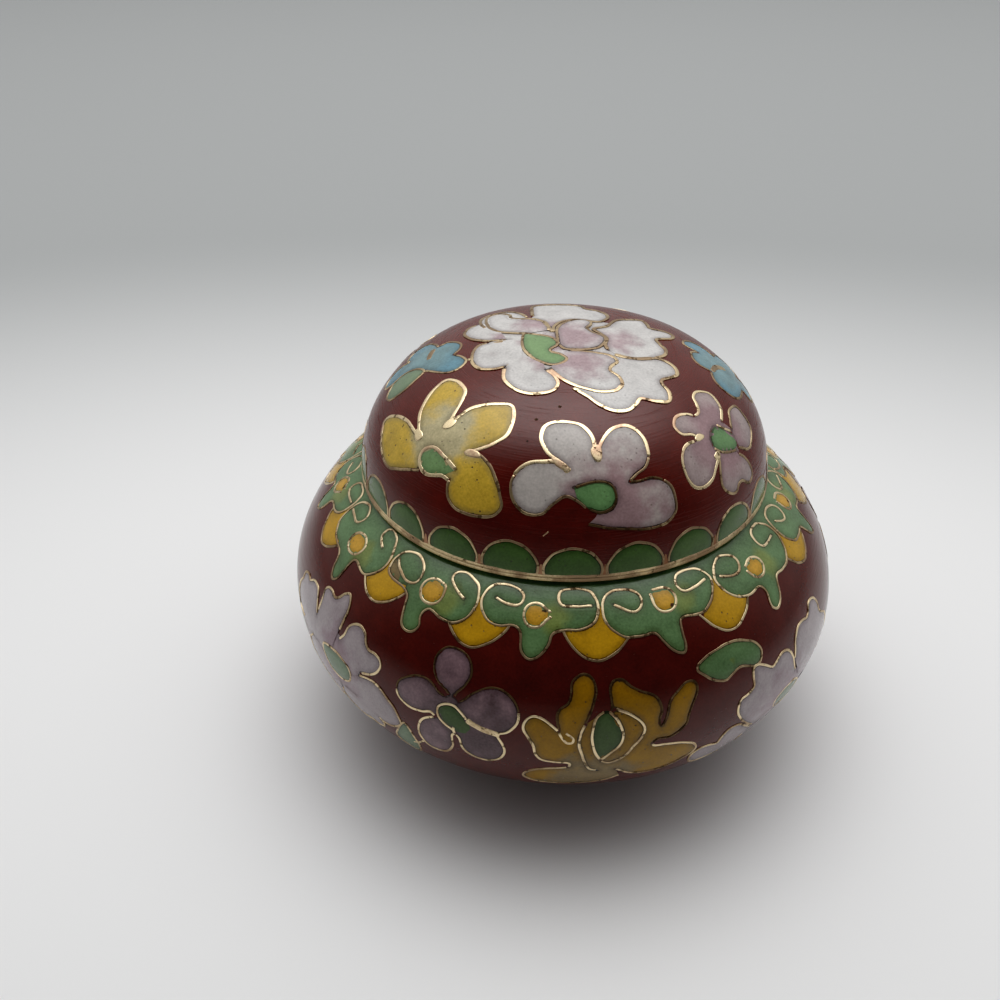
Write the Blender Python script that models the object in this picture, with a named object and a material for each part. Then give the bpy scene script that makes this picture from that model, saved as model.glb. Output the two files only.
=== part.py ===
"""A small cloisonne jar with a loose domed lid.

The jar is a squat copper bowl on a soldered foot ring. A collar is soldered into its mouth: its
flange is the seat that the lid stands on, and its tube keeps the lid from sliding off. The lid is
a hollow dome with a gilt band round its lower edge. Every piece is turned, so each one is a
profile in the X-Z plane that a Screw modifier spins round the jar's axis.
"""

import math

import bpy

MM = 0.001

# Driving dimensions, in millimetres. An arc's angles are those of its outward normal, in degrees
# above the horizontal: 0 faces straight out, 90 straight up and -90 straight down.
STEPS = 56
TOUCH_GAP = 0.3

BOWL_RADIUS = 35.0
BOWL_WALL = 2.2
BELLY_HEIGHT = 19.8
BELLY_ARC = 14.7
BELLY_FROM, BELLY_TO = -39.0, 28.6
SHOULDER_ARC = 18.0
UNDER_ARC = 22.0
UNDER_FROM = -78.0

FOOT_RADIUS = 19.0
FOOT_WIDTH = 2.4

SEAT_HEIGHT = 34.8
SEAT_RADIUS = 24.4
SEAT_THICKNESS = 1.0
COLLAR_RADIUS = 22.0
COLLAR_WALL = 0.9
COLLAR_TOP = 38.8
COLLAR_BOTTOM = 32.4

LID_RADIUS = 25.3
LID_WALL = 1.9
LID_SIDE_ARC = 15.1
LID_SIDE_TO = 63.7
LID_HAUNCH_ARC = 22.7
LID_HAUNCH_TO = 76.8
RIM_HEIGHT = 0.6

EDGE = 0.2
ARC_SAG = 0.06

ENAMEL_RED = (0.095, 0.012, 0.009, 1.0)
GILT = (0.62, 0.44, 0.22, 1.0)


def clear_scene():
    """Remove every object that the file opened with."""
    for old in list(bpy.data.objects):
        bpy.data.objects.remove(old, do_unlink=True)


def material(name, colour, roughness, metallic):
    """A Principled material of one plain finish."""
    made = bpy.data.materials.new(name)
    made.use_nodes = True
    shader = made.node_tree.nodes["Principled BSDF"]
    shader.inputs["Base Color"].default_value = colour
    shader.inputs["Roughness"].default_value = roughness
    shader.inputs["Metallic"].default_value = metallic
    made.diffuse_color = colour
    return made


def arc(start, radius, begin, end):
    """Points (r, z, normal angle) of an arc that leaves start, where its normal angle is begin.

    A chord of the arc may stand off it by ARC_SAG, which sets the angle between two points.
    """
    step_angle = 2 * math.degrees(math.acos(1 - ARC_SAG / radius))
    count = math.ceil(abs(end - begin) / step_angle) + 1
    centre_r = start[0] - radius * math.cos(math.radians(begin))
    centre_z = start[1] - radius * math.sin(math.radians(begin))
    points = []
    for step in range(count):
        angle = begin + (end - begin) * step / (count - 1)
        turn = math.radians(angle)
        points.append((centre_r + radius * math.cos(turn), centre_z + radius * math.sin(turn), angle))
    return points


def inset(points, wall):
    """The points moved inwards along their own normals, by the wall's thickness."""
    moved = []
    for r, z, angle in points:
        turn = math.radians(angle)
        moved.append((r - wall * math.cos(turn), z - wall * math.sin(turn), angle))
    return moved


def bowl_skin(mouth_radius):
    """The bowl's outer skin, from its mouth down to its flat underside: three tangent arcs."""
    widest = (BOWL_RADIUS, BELLY_HEIGHT)
    belly_up = arc(widest, BELLY_ARC, 0.0, BELLY_TO)
    centre_r = belly_up[-1][0] - SHOULDER_ARC * math.cos(math.radians(BELLY_TO))
    mouth_angle = math.degrees(math.acos((mouth_radius - centre_r) / SHOULDER_ARC))
    shoulder = arc(belly_up[-1], SHOULDER_ARC, BELLY_TO, mouth_angle)
    belly_down = arc(widest, BELLY_ARC, 0.0, BELLY_FROM)
    under = arc(belly_down[-1], UNDER_ARC, BELLY_FROM, UNDER_FROM)
    upper = belly_up + shoulder[1:]
    return upper[::-1] + belly_down[1:] + under[1:]


def lid_skin():
    """The lid's outer skin, from its crown down to the seat: the crown's arc closes on the axis."""
    side = arc((LID_RADIUS, SEAT_HEIGHT + TOUCH_GAP), LID_SIDE_ARC, 0.0, LID_SIDE_TO)
    haunch = arc(side[-1], LID_HAUNCH_ARC, LID_SIDE_TO, LID_HAUNCH_TO)
    crown_arc = haunch[-1][0] / math.cos(math.radians(LID_HAUNCH_TO))
    crown = arc(haunch[-1], crown_arc, LID_HAUNCH_TO, 90.0)
    return (side + haunch[1:] + crown[1:])[::-1]


def cut_at(points, height):
    """The stretch of a skin above a height, ended exactly on it."""
    kept = [point for point in points if point[1] > height + EDGE]
    r0, z0, a0 = kept[-1]
    r1, z1, a1 = points[len(kept)]
    part = (height - z0) / (z1 - z0)
    return kept + [(r0 + part * (r1 - r0), height, a0 + part * (a1 - a0))]


def turned(name, profile, finish, closed):
    """Spin a profile round the axis. It runs down its outer side; a closed one ends where it began."""
    mesh = bpy.data.meshes.new(name)
    vertices = [(point[0] * MM, 0.0, point[1] * MM) for point in profile]
    edges = [(i, i + 1) for i in range(len(vertices) - 1)]
    if closed:
        edges.append((len(vertices) - 1, 0))
    mesh.from_pydata(vertices, edges, [])
    mesh.materials.append(finish)
    piece = bpy.data.objects.new(name, mesh)
    bpy.context.scene.collection.objects.link(piece)
    screw = piece.modifiers.new("Spin", "SCREW")
    screw.axis = "Z"
    screw.angle = math.tau
    screw.steps = STEPS
    screw.render_steps = STEPS
    screw.use_merge_vertices = True
    screw.merge_threshold = 0.00001
    screw.use_smooth_shade = True
    return piece


def make_jar_body(enamel):
    """The bowl: its skin, a flat underside, and a cavity that follows the skin at one wall's depth."""
    mouth_radius = SEAT_RADIUS + TOUCH_GAP
    skin = bowl_skin(mouth_radius)
    bottom = skin[-1][1]
    cavity = inset(skin, BOWL_WALL)
    cavity = [point for point in cavity if point[1] > bottom + BOWL_WALL + EDGE]
    bore = COLLAR_RADIUS + TOUCH_GAP
    floor_radius = cavity[-1][0] - EDGE
    ledge = SEAT_HEIGHT - SEAT_THICKNESS - TOUCH_GAP
    inside = [(0.0, bottom + BOWL_WALL), (floor_radius, bottom + BOWL_WALL)] + cavity[::-1]
    inside = [point for point in inside if point[1] < ledge - BOWL_WALL / 2]
    neck = [(bore, ledge - BOWL_WALL / 2), (bore, ledge), (mouth_radius, ledge)]
    return turned("jar_body", inside + neck + skin + [(0.0, bottom)], enamel, closed=False)


def make_foot_ring(gilt):
    """The foot: a turned ring with eased lower edges, just under the bowl."""
    top = bowl_skin(SEAT_RADIUS + TOUCH_GAP)[-1][1] - TOUCH_GAP
    inner = FOOT_RADIUS - FOOT_WIDTH
    profile = [
        (inner, top),
        (FOOT_RADIUS - EDGE, top),
        (FOOT_RADIUS, EDGE),
        (FOOT_RADIUS - EDGE, 0.0),
        (inner + EDGE, 0.0),
        (inner, EDGE),
    ]
    return turned("foot_ring", profile, gilt, closed=True)


def make_mouth_collar(gilt):
    """The collar: a tube in the bowl's mouth, with the flange that the lid stands on."""
    inner = COLLAR_RADIUS - COLLAR_WALL
    profile = [
        (inner, COLLAR_TOP - EDGE),
        (inner + EDGE, COLLAR_TOP),
        (COLLAR_RADIUS - EDGE, COLLAR_TOP),
        (COLLAR_RADIUS, COLLAR_TOP - EDGE),
        (COLLAR_RADIUS, SEAT_HEIGHT),
        (SEAT_RADIUS - EDGE, SEAT_HEIGHT),
        (SEAT_RADIUS, SEAT_HEIGHT - EDGE),
        (SEAT_RADIUS, SEAT_HEIGHT - SEAT_THICKNESS),
        (COLLAR_RADIUS, SEAT_HEIGHT - SEAT_THICKNESS),
        (COLLAR_RADIUS, COLLAR_BOTTOM),
        (inner, COLLAR_BOTTOM),
    ]
    return turned("mouth_collar", profile, gilt, closed=True)


def make_jar_lid(enamel):
    """The lid: a hollow dome that ends just above its rim band."""
    height = SEAT_HEIGHT + TOUCH_GAP + RIM_HEIGHT + TOUCH_GAP
    skin = cut_at(lid_skin(), height)
    hollow = cut_at(inset(lid_skin(), LID_WALL), height)
    return turned("jar_lid", skin + hollow[::-1], enamel, closed=False)


def make_lid_rim(gilt):
    """The band round the lid's lower edge, which stands on the collar's seat."""
    bottom = SEAT_HEIGHT + TOUCH_GAP
    top = bottom + RIM_HEIGHT
    inner = LID_RADIUS - LID_WALL
    profile = [
        (inner, top),
        (LID_RADIUS, top),
        (LID_RADIUS, bottom + EDGE),
        (LID_RADIUS - EDGE, bottom),
        (inner, bottom),
    ]
    return turned("lid_rim", profile, gilt, closed=True)


def main():
    clear_scene()
    enamel = material("dark_red_enamel", ENAMEL_RED, 0.15, 0.0)
    gilt = material("gilt_copper", GILT, 0.35, 1.0)
    make_jar_body(enamel)
    make_foot_ring(gilt)
    make_mouth_collar(gilt)
    make_jar_lid(enamel)
    make_lid_rim(gilt)


main()
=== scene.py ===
# %% [markdown]
# # A cloisonne jar with a loose domed lid
#
# Cloisonne is glass fired in cells of wire. A copper jar is turned, flat wires are bent into flowers
# and glued on their edges, each cell is filled with coloured enamel and fired, and then the whole
# skin is ground smooth and the bare wires are gilded. This lesson builds such a jar the same way:
# first the turned copper and its dark red ground, then the cells of colour laid on the curved skin,
# and then the gilt wires that run round them. Everything is worked out in millimetres, and turned
# into metres only when a mesh is made.

import math

import bpy
import numpy as np
from mathutils import Matrix, Vector
from mathutils.geometry import delaunay_2d_cdt


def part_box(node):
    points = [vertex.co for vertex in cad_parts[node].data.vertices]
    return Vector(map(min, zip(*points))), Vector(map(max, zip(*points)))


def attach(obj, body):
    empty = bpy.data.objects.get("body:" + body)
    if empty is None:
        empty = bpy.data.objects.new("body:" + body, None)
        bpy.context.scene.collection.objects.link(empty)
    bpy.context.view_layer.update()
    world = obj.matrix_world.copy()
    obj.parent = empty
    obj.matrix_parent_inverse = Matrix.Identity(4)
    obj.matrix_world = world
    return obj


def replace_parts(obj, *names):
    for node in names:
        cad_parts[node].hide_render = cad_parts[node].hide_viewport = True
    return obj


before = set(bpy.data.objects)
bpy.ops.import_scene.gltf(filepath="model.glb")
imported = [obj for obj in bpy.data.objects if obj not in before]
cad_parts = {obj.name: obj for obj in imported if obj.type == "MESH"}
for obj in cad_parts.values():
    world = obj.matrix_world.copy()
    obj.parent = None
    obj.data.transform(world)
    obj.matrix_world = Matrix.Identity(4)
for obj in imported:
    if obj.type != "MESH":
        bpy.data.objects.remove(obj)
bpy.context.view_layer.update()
MM = 0.001


def node_box(name):
    """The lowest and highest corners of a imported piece, in millimetres."""
    low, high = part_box(name)
    return np.array(low) / MM, np.array(high) / MM


BOWL_RADIUS = node_box("jar_body")[1][0]
BOWL_TOP = node_box("jar_body")[1][2]
BOWL_BOTTOM = node_box("jar_body")[0][2]
LID_RADIUS = node_box("lid_rim")[1][0]
LID_BOTTOM = node_box("lid_rim")[0][2]
RIM_TOP = node_box("lid_rim")[1][2]
LID_TOP = node_box("jar_lid")[1][2]
print(f"bowl {2 * BOWL_RADIUS:.1f} mm wide, lid {2 * LID_RADIUS:.1f} mm wide, {LID_TOP:.1f} mm tall")

# %% [markdown]
# ## The turned skins
#
# A turner works to a profile, so both enamelled skins are one: a chain of arcs that flow into each
# other. The bowl has a round belly between a flatter shoulder and a flatter underside, and the lid is
# a dome whose arcs grow longer towards the crown. A spline would be smooth too, but arcs keep true
# radii and give the skin's direction everywhere. A table of radius, height and normal angle against
# the length run along the skin is enough to place anything on it later.

# %% Arcs that flow into each other
ARC_POINTS = 60


def climb(start, arcs):
    """Rows (radius, height, normal angle) along tangent arcs that leave start with a level normal.

    Each arc is (radius, the angle its normal ends at in degrees). A point on an arc is its centre
    plus the radius times (cosine, sine) of the normal's angle. A radius of None closes on the axis.
    """
    across, height = start
    angle = 0.0
    rows = [np.array([[across, height, angle]])]
    for size, ending in arcs:
        size = size or across / math.cos(angle)
        turn = np.linspace(angle, math.radians(ending), ARC_POINTS)[1:]
        centre = (across - size * math.cos(angle), height - size * math.sin(angle))
        spots = np.stack([centre[0] + size * np.cos(turn), centre[1] + size * np.sin(turn), turn], 1)
        rows.append(spots)
        across, height, angle = spots[-1]
    return np.concatenate(rows)


BELLY_HEIGHT = 19.8
BELLY_AND_SHOULDER = [(14.7, 28.6), (18.0, 66.1)]
BELLY_AND_UNDERSIDE = [(14.7, -39.0), (22.0, -78.0)]
SIDE_HAUNCH_AND_CROWN = [(15.1, 63.7), (22.7, 76.8), (None, 90.0)]
belly_up = climb((BOWL_RADIUS, BELLY_HEIGHT), BELLY_AND_SHOULDER)
belly_down = climb((BOWL_RADIUS, BELLY_HEIGHT), BELLY_AND_UNDERSIDE)
bowl_outline = np.concatenate([belly_up[::-1], belly_down[1:]])
lid_outline = climb((LID_RADIUS, LID_BOTTOM), SIDE_HAUNCH_AND_CROWN)[::-1]
lid_outline[0, 0] = 0.0
print(f"a mouth {2 * bowl_outline[0, 0]:.1f} mm wide, and a crown {lid_outline[0, 1]:.1f} mm up")

# %% [markdown]
# ## Drawing on a curved skin
#
# The flowers are drawn flat, as an enameller pencils them, and then laid on the metal. On the lid the
# flat sheet is centred on the crown: a point's distance from the middle is the length run down the
# dome, with y pointing away from the front. On the bowl the sheet is wrapped round the belly: x runs
# along the widest circle and y climbs towards the mouth, where it is 14. A real skin is never quite
# true, so a slow swell of a few hundredths of a millimetre is added, which bends the reflections. The
# lid's hem has a sheet of its own, wrapped round the lid, with y climbing from the lid's lower edge.

# %% Skins
MOUTH_LINE = 14.0
SWELL = 0.022
SWELL_FADE = 6.0
# Each wave: how many there are in a turn, its twist for each millimetre down the skin, and its start.
WAVES = [(3, 0.21, 0.0), (5, -0.33, 1.7), (2, 0.45, 4.0)]


def swell(length, turn):
    """How far the hand-ground skin stands off its true shape: three slow sine waves, less near a pole."""
    waves = sum(np.sin(count * turn + twist * length + start) for count, twist, start in WAVES)
    return SWELL * waves * np.minimum(1, length / SWELL_FADE)


class Skin:
    """A turned skin: its outline, tabled against the length run along it from its upper end."""

    def __init__(self, outline, place):
        self.outline = outline
        steps = np.hypot(np.diff(outline[:, 0]), np.diff(outline[:, 1]))
        self.length = np.concatenate([[0.0], np.cumsum(steps)])
        self.place = place

    def at(self, length, turn, lift=0.0):
        """Points and normals at a length down the skin and a turn round the axis, lifted off it."""
        across, height, angle = (np.interp(length, self.length, column) for column in self.outline.T)
        level = np.cos(angle)
        normal = np.stack([level * np.sin(turn), -level * np.cos(turn), np.sin(angle)], -1)
        spot = np.stack([across * np.sin(turn), -across * np.cos(turn), height], -1)
        return spot + normal * (lift + swell(length, turn))[..., None], normal

    def lay(self, drawing, lift=0.0, turn=0.0):
        """A flat drawing's points (x, y) on the skin, turned round the axis by an angle."""
        length, angle = self.place(drawing[..., 0], drawing[..., 1])
        return self.at(length, angle + turn, lift)


lid = Skin(lid_outline, lambda x, y: (np.hypot(x, y), np.arctan2(x, -y)))
bowl = Skin(bowl_outline, lambda x, y: (MOUTH_LINE - y, x / BOWL_RADIUS))
LID_LENGTH = lid.length[-1]
hem = Skin(lid_outline, lambda x, y: (LID_LENGTH - y, x / LID_RADIUS))
print(f"{LID_LENGTH:.1f} mm from the lid's crown to its edge, {bowl.length[-1]:.1f} mm down the bowl")

# %% [markdown]
# ## Turning numbers into pieces
#
# Each piece of the jar is one mesh, filled straight from arrays. The enamel also carries two numbers
# at every point: how near the closest wire is, and how far the point lies from the heart of its
# flower. The finishes read them to darken the glass along the wires and to shade the petals.

# %% Making a piece
made = {}


def make_piece(name, points, faces, finishes, slot, coat=None, values=None):
    """A smooth mesh of triangles, from points in millimetres, that rides on the jar.

    coat says which of the finishes each face has, and values are the numbers that each point carries.
    """
    mesh = bpy.data.meshes.new(name)
    mesh.vertices.add(len(points))
    mesh.vertices.foreach_set("co", (points * MM).astype(np.float32).ravel())
    mesh.loops.add(faces.size)
    mesh.loops.foreach_set("vertex_index", faces.astype(np.int32).ravel())
    mesh.polygons.add(len(faces))
    mesh.polygons.foreach_set("loop_start", np.arange(0, faces.size, 3, dtype=np.int32))
    for finish in finishes:
        mesh.materials.append(finish)
    if coat is not None:
        mesh.polygons.foreach_set("material_index", coat.astype(np.int32))
    for label, numbers in (values or {}).items():
        layer = mesh.attributes.new(label, "FLOAT", "POINT")
        layer.data.foreach_set("value", numbers.astype(np.float32))
    mesh.update(calc_edges=True)
    mesh.shade_smooth()
    piece = bpy.data.objects.new(name, mesh)
    bpy.context.scene.collection.objects.link(piece)
    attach(piece, "root")
    made[name] = len(faces)
    return piece


# %% Grids, poles and corners
def ring_faces(rows, columns, closed=False):
    """Triangles of a grid of rings. Rows run down the outer side and columns go anticlockwise."""
    row, column = np.meshgrid(np.arange(rows - (not closed)), np.arange(columns), indexing="ij")
    below = (row + 1) % rows * columns
    beside = (column + 1) % columns
    here = row * columns
    one = np.stack([here + column, below + column, below + beside], -1)
    two = np.stack([here + column, below + beside, here + beside], -1)
    return np.concatenate([one.reshape(-1, 3), two.reshape(-1, 3)])


def close_poles(points, faces, columns):
    """Gathers the first and the last ring into one point each, and says which faces that leaves."""
    number = np.arange(len(points))
    number[:columns] = 0
    number[-columns:] = len(points) - columns
    faces = number[faces]
    whole = (faces != np.roll(faces, 1, axis=1)).all(axis=1)
    used = np.unique(faces[whole])
    return points[used], np.searchsorted(used, faces[whole]), whole


CORNER_POINTS = 6


def ease(corners, size):
    """A closed profile with its corners rounded: each is a quadratic curve that the corner pulls out."""
    corners = np.array(corners, float)
    blend = np.linspace(0, 1, CORNER_POINTS)[:, None]
    pieces = []
    for before, corner, after in zip(np.roll(corners, 1, 0), corners, np.roll(corners, -1, 0)):
        come = corner + (before - corner) * size / np.linalg.norm(before - corner)
        go = corner + (after - corner) * size / np.linalg.norm(after - corner)
        pieces.append((1 - blend) ** 2 * come + 2 * blend * (1 - blend) * corner + blend**2 * go)
    return np.concatenate(pieces)


def spun(profile, columns):
    """A profile (radius, height) carried round the axis: a grid of points."""
    turn = np.arange(columns) * math.tau / columns
    across, height = profile[:, 0, None], profile[:, 1, None]
    level = np.broadcast_to(height, (len(profile), columns))
    return np.stack([across * np.sin(turn), -across * np.cos(turn), level], -1)


# %% [markdown]
# ## Mixing finishes
#
# Shader maths is easier to read as arithmetic, so one small class wraps a node's output and turns
# +, - and * into Math nodes. Every other node comes from one method, add(), which sets the node up
# and then links or fills its sockets. All patterns are measured in millimetres on the jar itself. The
# lamp and the world have node trees too, so what they share with a finish is kept in a class.

# %% Signals
class Signal:
    """One output of a node in a graph, with arithmetic that adds Math nodes."""

    def __init__(self, graph, socket):
        self.graph = graph
        self.socket = socket

    def math(self, operation, first, second):
        return self.graph.add("ShaderNodeMath", {"operation": operation}, {0: first, 1: second})

    def __add__(self, other):
        return self.math("ADD", self, other)

    def __sub__(self, other):
        return self.math("SUBTRACT", self, other)

    def __rsub__(self, other):
        return self.math("SUBTRACT", other, self)

    def __mul__(self, other):
        return self.math("MULTIPLY", self, other)

    __radd__ = __add__
    __rmul__ = __mul__


# %% Graphs
class Graph:
    """A node tree and the shader that it feeds."""

    def __init__(self, tree, shader):
        self.tree = tree
        self.shader = tree.nodes[shader]

    def add(self, kind, settings=None, values=None, output=0):
        """A node of any type: its settings first, then the values or links of its sockets."""
        node = self.tree.nodes.new(kind)
        for label, setting in (settings or {}).items():
            setattr(node, label, setting)
        for label, value in (values or {}).items():
            if isinstance(value, Signal):
                self.tree.links.new(value.socket, node.inputs[label])
            else:
                node.inputs[label].default_value = value
        return Signal(self, node.outputs[output])

    def feed(self, label, signal):
        self.tree.links.new(signal.socket, self.shader.inputs[label])

    def step(self, signal, low, high):
        """0 below low, 1 above high and a smooth climb between."""
        values = {"Value": signal, "From Min": low, "From Max": high}
        return self.add("ShaderNodeMapRange", {"interpolation_type": "SMOOTHSTEP"}, values)

    def axis(self, vector, letter):
        """One of a vector's three numbers."""
        return self.add("ShaderNodeSeparateXYZ", None, {0: vector}, letter)

    def vector(self, operation, values, output=0):
        return self.add("ShaderNodeVectorMath", {"operation": operation}, values, output)

    def scaled(self, vector, amount):
        """A vector or a colour times a number."""
        return self.vector("SCALE", {0: vector, "Scale": amount})


# %% Finishes
GRAIN = 0.012


class Finish(Graph):
    """A Principled material and the nodes that feed it."""

    def __init__(self, name, fixed):
        self.material = bpy.data.materials.new(name)
        self.material.use_nodes = True
        super().__init__(self.material.node_tree, "Principled BSDF")
        for label, value in fixed.items():
            self.shader.inputs[label].default_value = value
        self.spot = self.scaled(self.add("ShaderNodeTexCoord", output="Object"), 1 / MM)

    def level(self, stretch=(1, 1, 0)):
        """The spot without its height, and how far that is from the jar's axis."""
        flat = self.vector("MULTIPLY", {0: self.spot, 1: stretch})
        return flat, self.vector("LENGTH", {0: flat}, "Value")

    def noise(self, size, detail=2.0, spot=None):
        """Cloudy noise from 0 to 1 whose clouds are about size millimetres across."""
        values = {"Vector": spot or self.spot, "Scale": 1 / size, "Detail": detail}
        return self.add("ShaderNodeTexNoise", None, values)

    def mix(self, factor, first, second):
        """A colour between two: 0 is the first, 1 the second."""
        values = {0: factor}
        for label, colour in ((6, first), (7, second)):
            values[label] = colour if isinstance(colour, Signal) else (*colour, 1.0)
        return self.add("ShaderNodeMix", {"data_type": "RGBA"}, values, 2)

    def value(self, label):
        """A number that the mesh carries at each point."""
        return self.add("ShaderNodeAttribute", {"attribute_name": label}, output="Fac")

    def bump(self, height):
        """Feeds a relief of about GRAIN millimetres to the shader's normal."""
        values = {"Height": height, "Distance": GRAIN * MM}
        self.feed("Normal", self.add("ShaderNodeBump", None, values))


# %% [markdown]
# ### Enamel
#
# Enamel is opaque glass, so it has a plain gloss over a colour that is never even: the powder fires
# into clouds, gas leaves pinholes, and flux eats the copper wires and stains the glass beside them.
# The glass right beside each wire is also painted darker, a painted shade for the seam there.
# The petals are shaded by laying a second colour at the tips. The final grinding leaves hair-fine
# streaks that run round the jar, and they are what softens the lamp's reflection on the lid.

# %% Enamel
# The dark of pinholes, and of the painted shade and staining in the seam beside each wire.
STAIN_AND_SHADE = (0.02, 0.012, 0.006)
CLOUDS, POWDER, FLUX, THICK_GLASS, BUBBLES = 2.4, 0.26, 2.9, 1.7, 0.7
STREAKS_ROUND, STREAKS_DOWN = 0.2, 3.4
# Millimetres from a wire between which its dark halo fades, and its line: flux staining and painted seam
# shade.
HALO, STAIN_AND_SHADE_LINE = (0.2, 0.95), (0.2, 0.3)
# Where a bubble's middle ends and its rim begins, as a share of BUBBLES.
PINHOLE = (0.11, 0.19)


def streaks(finish):
    """Fine lines round the axis: noise drawn out level and squeezed along the slope."""
    level, across = finish.level()
    slope = (finish.axis(finish.spot, "Z") - across) * STREAKS_DOWN
    down = finish.add("ShaderNodeCombineXYZ", None, {"Z": slope})
    spot = finish.vector("ADD", {0: finish.scaled(level, STREAKS_ROUND), 1: down})
    return finish.noise(1.0, 3.0, spot)


def enamel(name, heart, tip, pinholes=0.5, stain_and_shade=0.7, cloud=0.5, gloss=0.09, worn=0.3):
    """Fired glass whose colour goes from the heart of a flower to its petals' tips.

    cloud is how uneven the colour is, stain_and_shade how dark the glass is painted beside the wires,
    for flux staining and for the shade in the seam, and worn how much the grinding has scratched it.
    """
    finish = Finish(name, {"IOR": 1.5, "Specular IOR Level": 0.48, "Metallic": 0.0})
    clouds = finish.noise(CLOUDS, 3.0)
    powder = finish.noise(POWDER)
    bloom = finish.value("bloom") + (clouds - 0.5) * 1.3
    colour = finish.mix(finish.step(bloom, 0.15, 0.85), heart, tip)
    colour = finish.scaled(colour, 1.0 + (clouds - 0.5) * cloud + (powder - 0.5) * (0.25 + 0.45 * cloud))
    edge = finish.value("edge") + (powder - 0.5) * 0.12
    # Painted shade with flux staining: a dark halo, and a darker line where the glass meets each wire.
    halo = (1.0 - finish.step(edge, *HALO)) * 0.5 * stain_and_shade
    colour = finish.mix(halo, colour, tuple(0.35 * part for part in heart))
    patchy = finish.step(finish.noise(FLUX), 0.36, 0.6)
    line = (1.0 - finish.step(edge, *STAIN_AND_SHADE_LINE)) * (0.4 + 0.6 * patchy) * stain_and_shade
    colour = finish.mix(line, colour, STAIN_AND_SHADE)
    cells = {"Vector": finish.spot, "Scale": 1 / BUBBLES}
    bubbles = finish.add("ShaderNodeTexVoronoi", None, cells, "Distance")
    thick = finish.step(finish.noise(THICK_GLASS, 1.0), 0.46, 0.58) * pinholes
    holes = (1.0 - finish.step(bubbles, *PINHOLE)) * thick
    colour = finish.mix(holes, colour, STAIN_AND_SHADE)
    finish.feed("Base Color", colour)
    hair = streaks(finish)
    scratched = finish.step(hair, 0.55, 0.68)
    finish.feed("Roughness", gloss + hair * 0.15 + scratched * 0.2 * worn + holes * 0.4)
    finish.bump(hair * (0.6 + 0.6 * worn) + clouds * 1.2 + powder * 0.15 - holes * 2.0)
    return finish.material


# %% The enamels
RED = enamel("dark_red_enamel", (0.095, 0.0145, 0.009), (0.12, 0.019, 0.012), 0.25, 0.0, 0.6)
LID_RED = enamel("lid_red_enamel", (0.115, 0.0155, 0.009), (0.145, 0.02, 0.012), 0.25, 0.0, 0.6, 0.15, 1.0)
GREEN = enamel("leaf_green_enamel", (0.18, 0.32, 0.145), (0.24, 0.39, 0.2), 0.3, 0.75, 0.5)
SPRING = enamel("seed_green_enamel", (0.215, 0.34, 0.155), (0.28, 0.41, 0.22), 0.3, 0.7, 0.4)
DARK_GREEN = enamel("scallop_green_enamel", (0.08, 0.15, 0.037), (0.1, 0.185, 0.05), 0.6, 0.8, 0.55)
OLIVE = enamel("garland_green_enamel", (0.2, 0.25, 0.085), (0.135, 0.22, 0.105), 0.3, 0.7, 0.85)
AMBER = enamel("amber_enamel", (0.5, 0.29, 0.02), (0.56, 0.34, 0.03), 0.7, 0.8, 0.5)
ORANGE = enamel("bud_orange_enamel", (0.6, 0.345, 0.05), (0.52, 0.3, 0.035), 0.5, 0.8, 0.5)
HONEY = enamel("shaded_amber_enamel", (0.54, 0.47, 0.28), (0.57, 0.39, 0.065), 0.9, 0.9, 0.8)
SKY = enamel("sky_blue_enamel", (0.18, 0.29, 0.31), (0.14, 0.28, 0.345), 0.4, 0.7, 0.9)
ROSE = enamel("rose_enamel", (0.37, 0.255, 0.26), (0.5, 0.46, 0.43), 0.45, 0.9, 0.5)
MAUVE = enamel("mauve_enamel", (0.36, 0.24, 0.25), (0.41, 0.33, 0.32), 0.45, 0.6, 0.5)
BLUSH = enamel("blush_white_enamel", (0.42, 0.31, 0.325), (0.61, 0.59, 0.57), 0.25, 0.9, 0.5)
LILAC = enamel("lilac_enamel", (0.135, 0.088, 0.096), (0.235, 0.16, 0.175), 0.5, 0.8, 0.95)
LOTUS = enamel("lotus_enamel", (0.26, 0.19, 0.09), (0.33, 0.18, 0.006), 0.8, 0.8, 0.55)
MOSS = enamel("moss_enamel", (0.078, 0.127, 0.042), (0.085, 0.15, 0.05), 0.4, 0.8, 0.5)
PEARL = enamel("peony_enamel", (0.315, 0.22, 0.25), (0.4, 0.345, 0.355), 0.35, 0.7, 0.4)
JADE = enamel("pale_leaf_enamel", (0.19, 0.26, 0.16), (0.23, 0.28, 0.19), 0.3, 0.6, 0.5)
LINING = enamel("counter_enamel", (0.05, 0.17, 0.19), (0.06, 0.2, 0.22), 0.9, 0.0, 0.5, 0.3)
print("the last enamel has", len(LINING.node_tree.nodes), "nodes")

# %% [markdown]
# ### Gilt copper
#
# The wires and turned rings are copper with a thin gilding. Grinding cuts their tops flat and bright,
# and the gilding wears to a tan copper in long stretches, so the colour drifts between the two and
# the polish is uneven. Old flux leaves short dark breaks in the line.

# %% Gilding
GOLD = (0.86, 0.71, 0.46)
COPPER = (0.54, 0.36, 0.25)
TARNISH = (0.11, 0.075, 0.045)
RUBBED, BREAKS, TOOLING = 3.4, 0.9, 0.22


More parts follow.
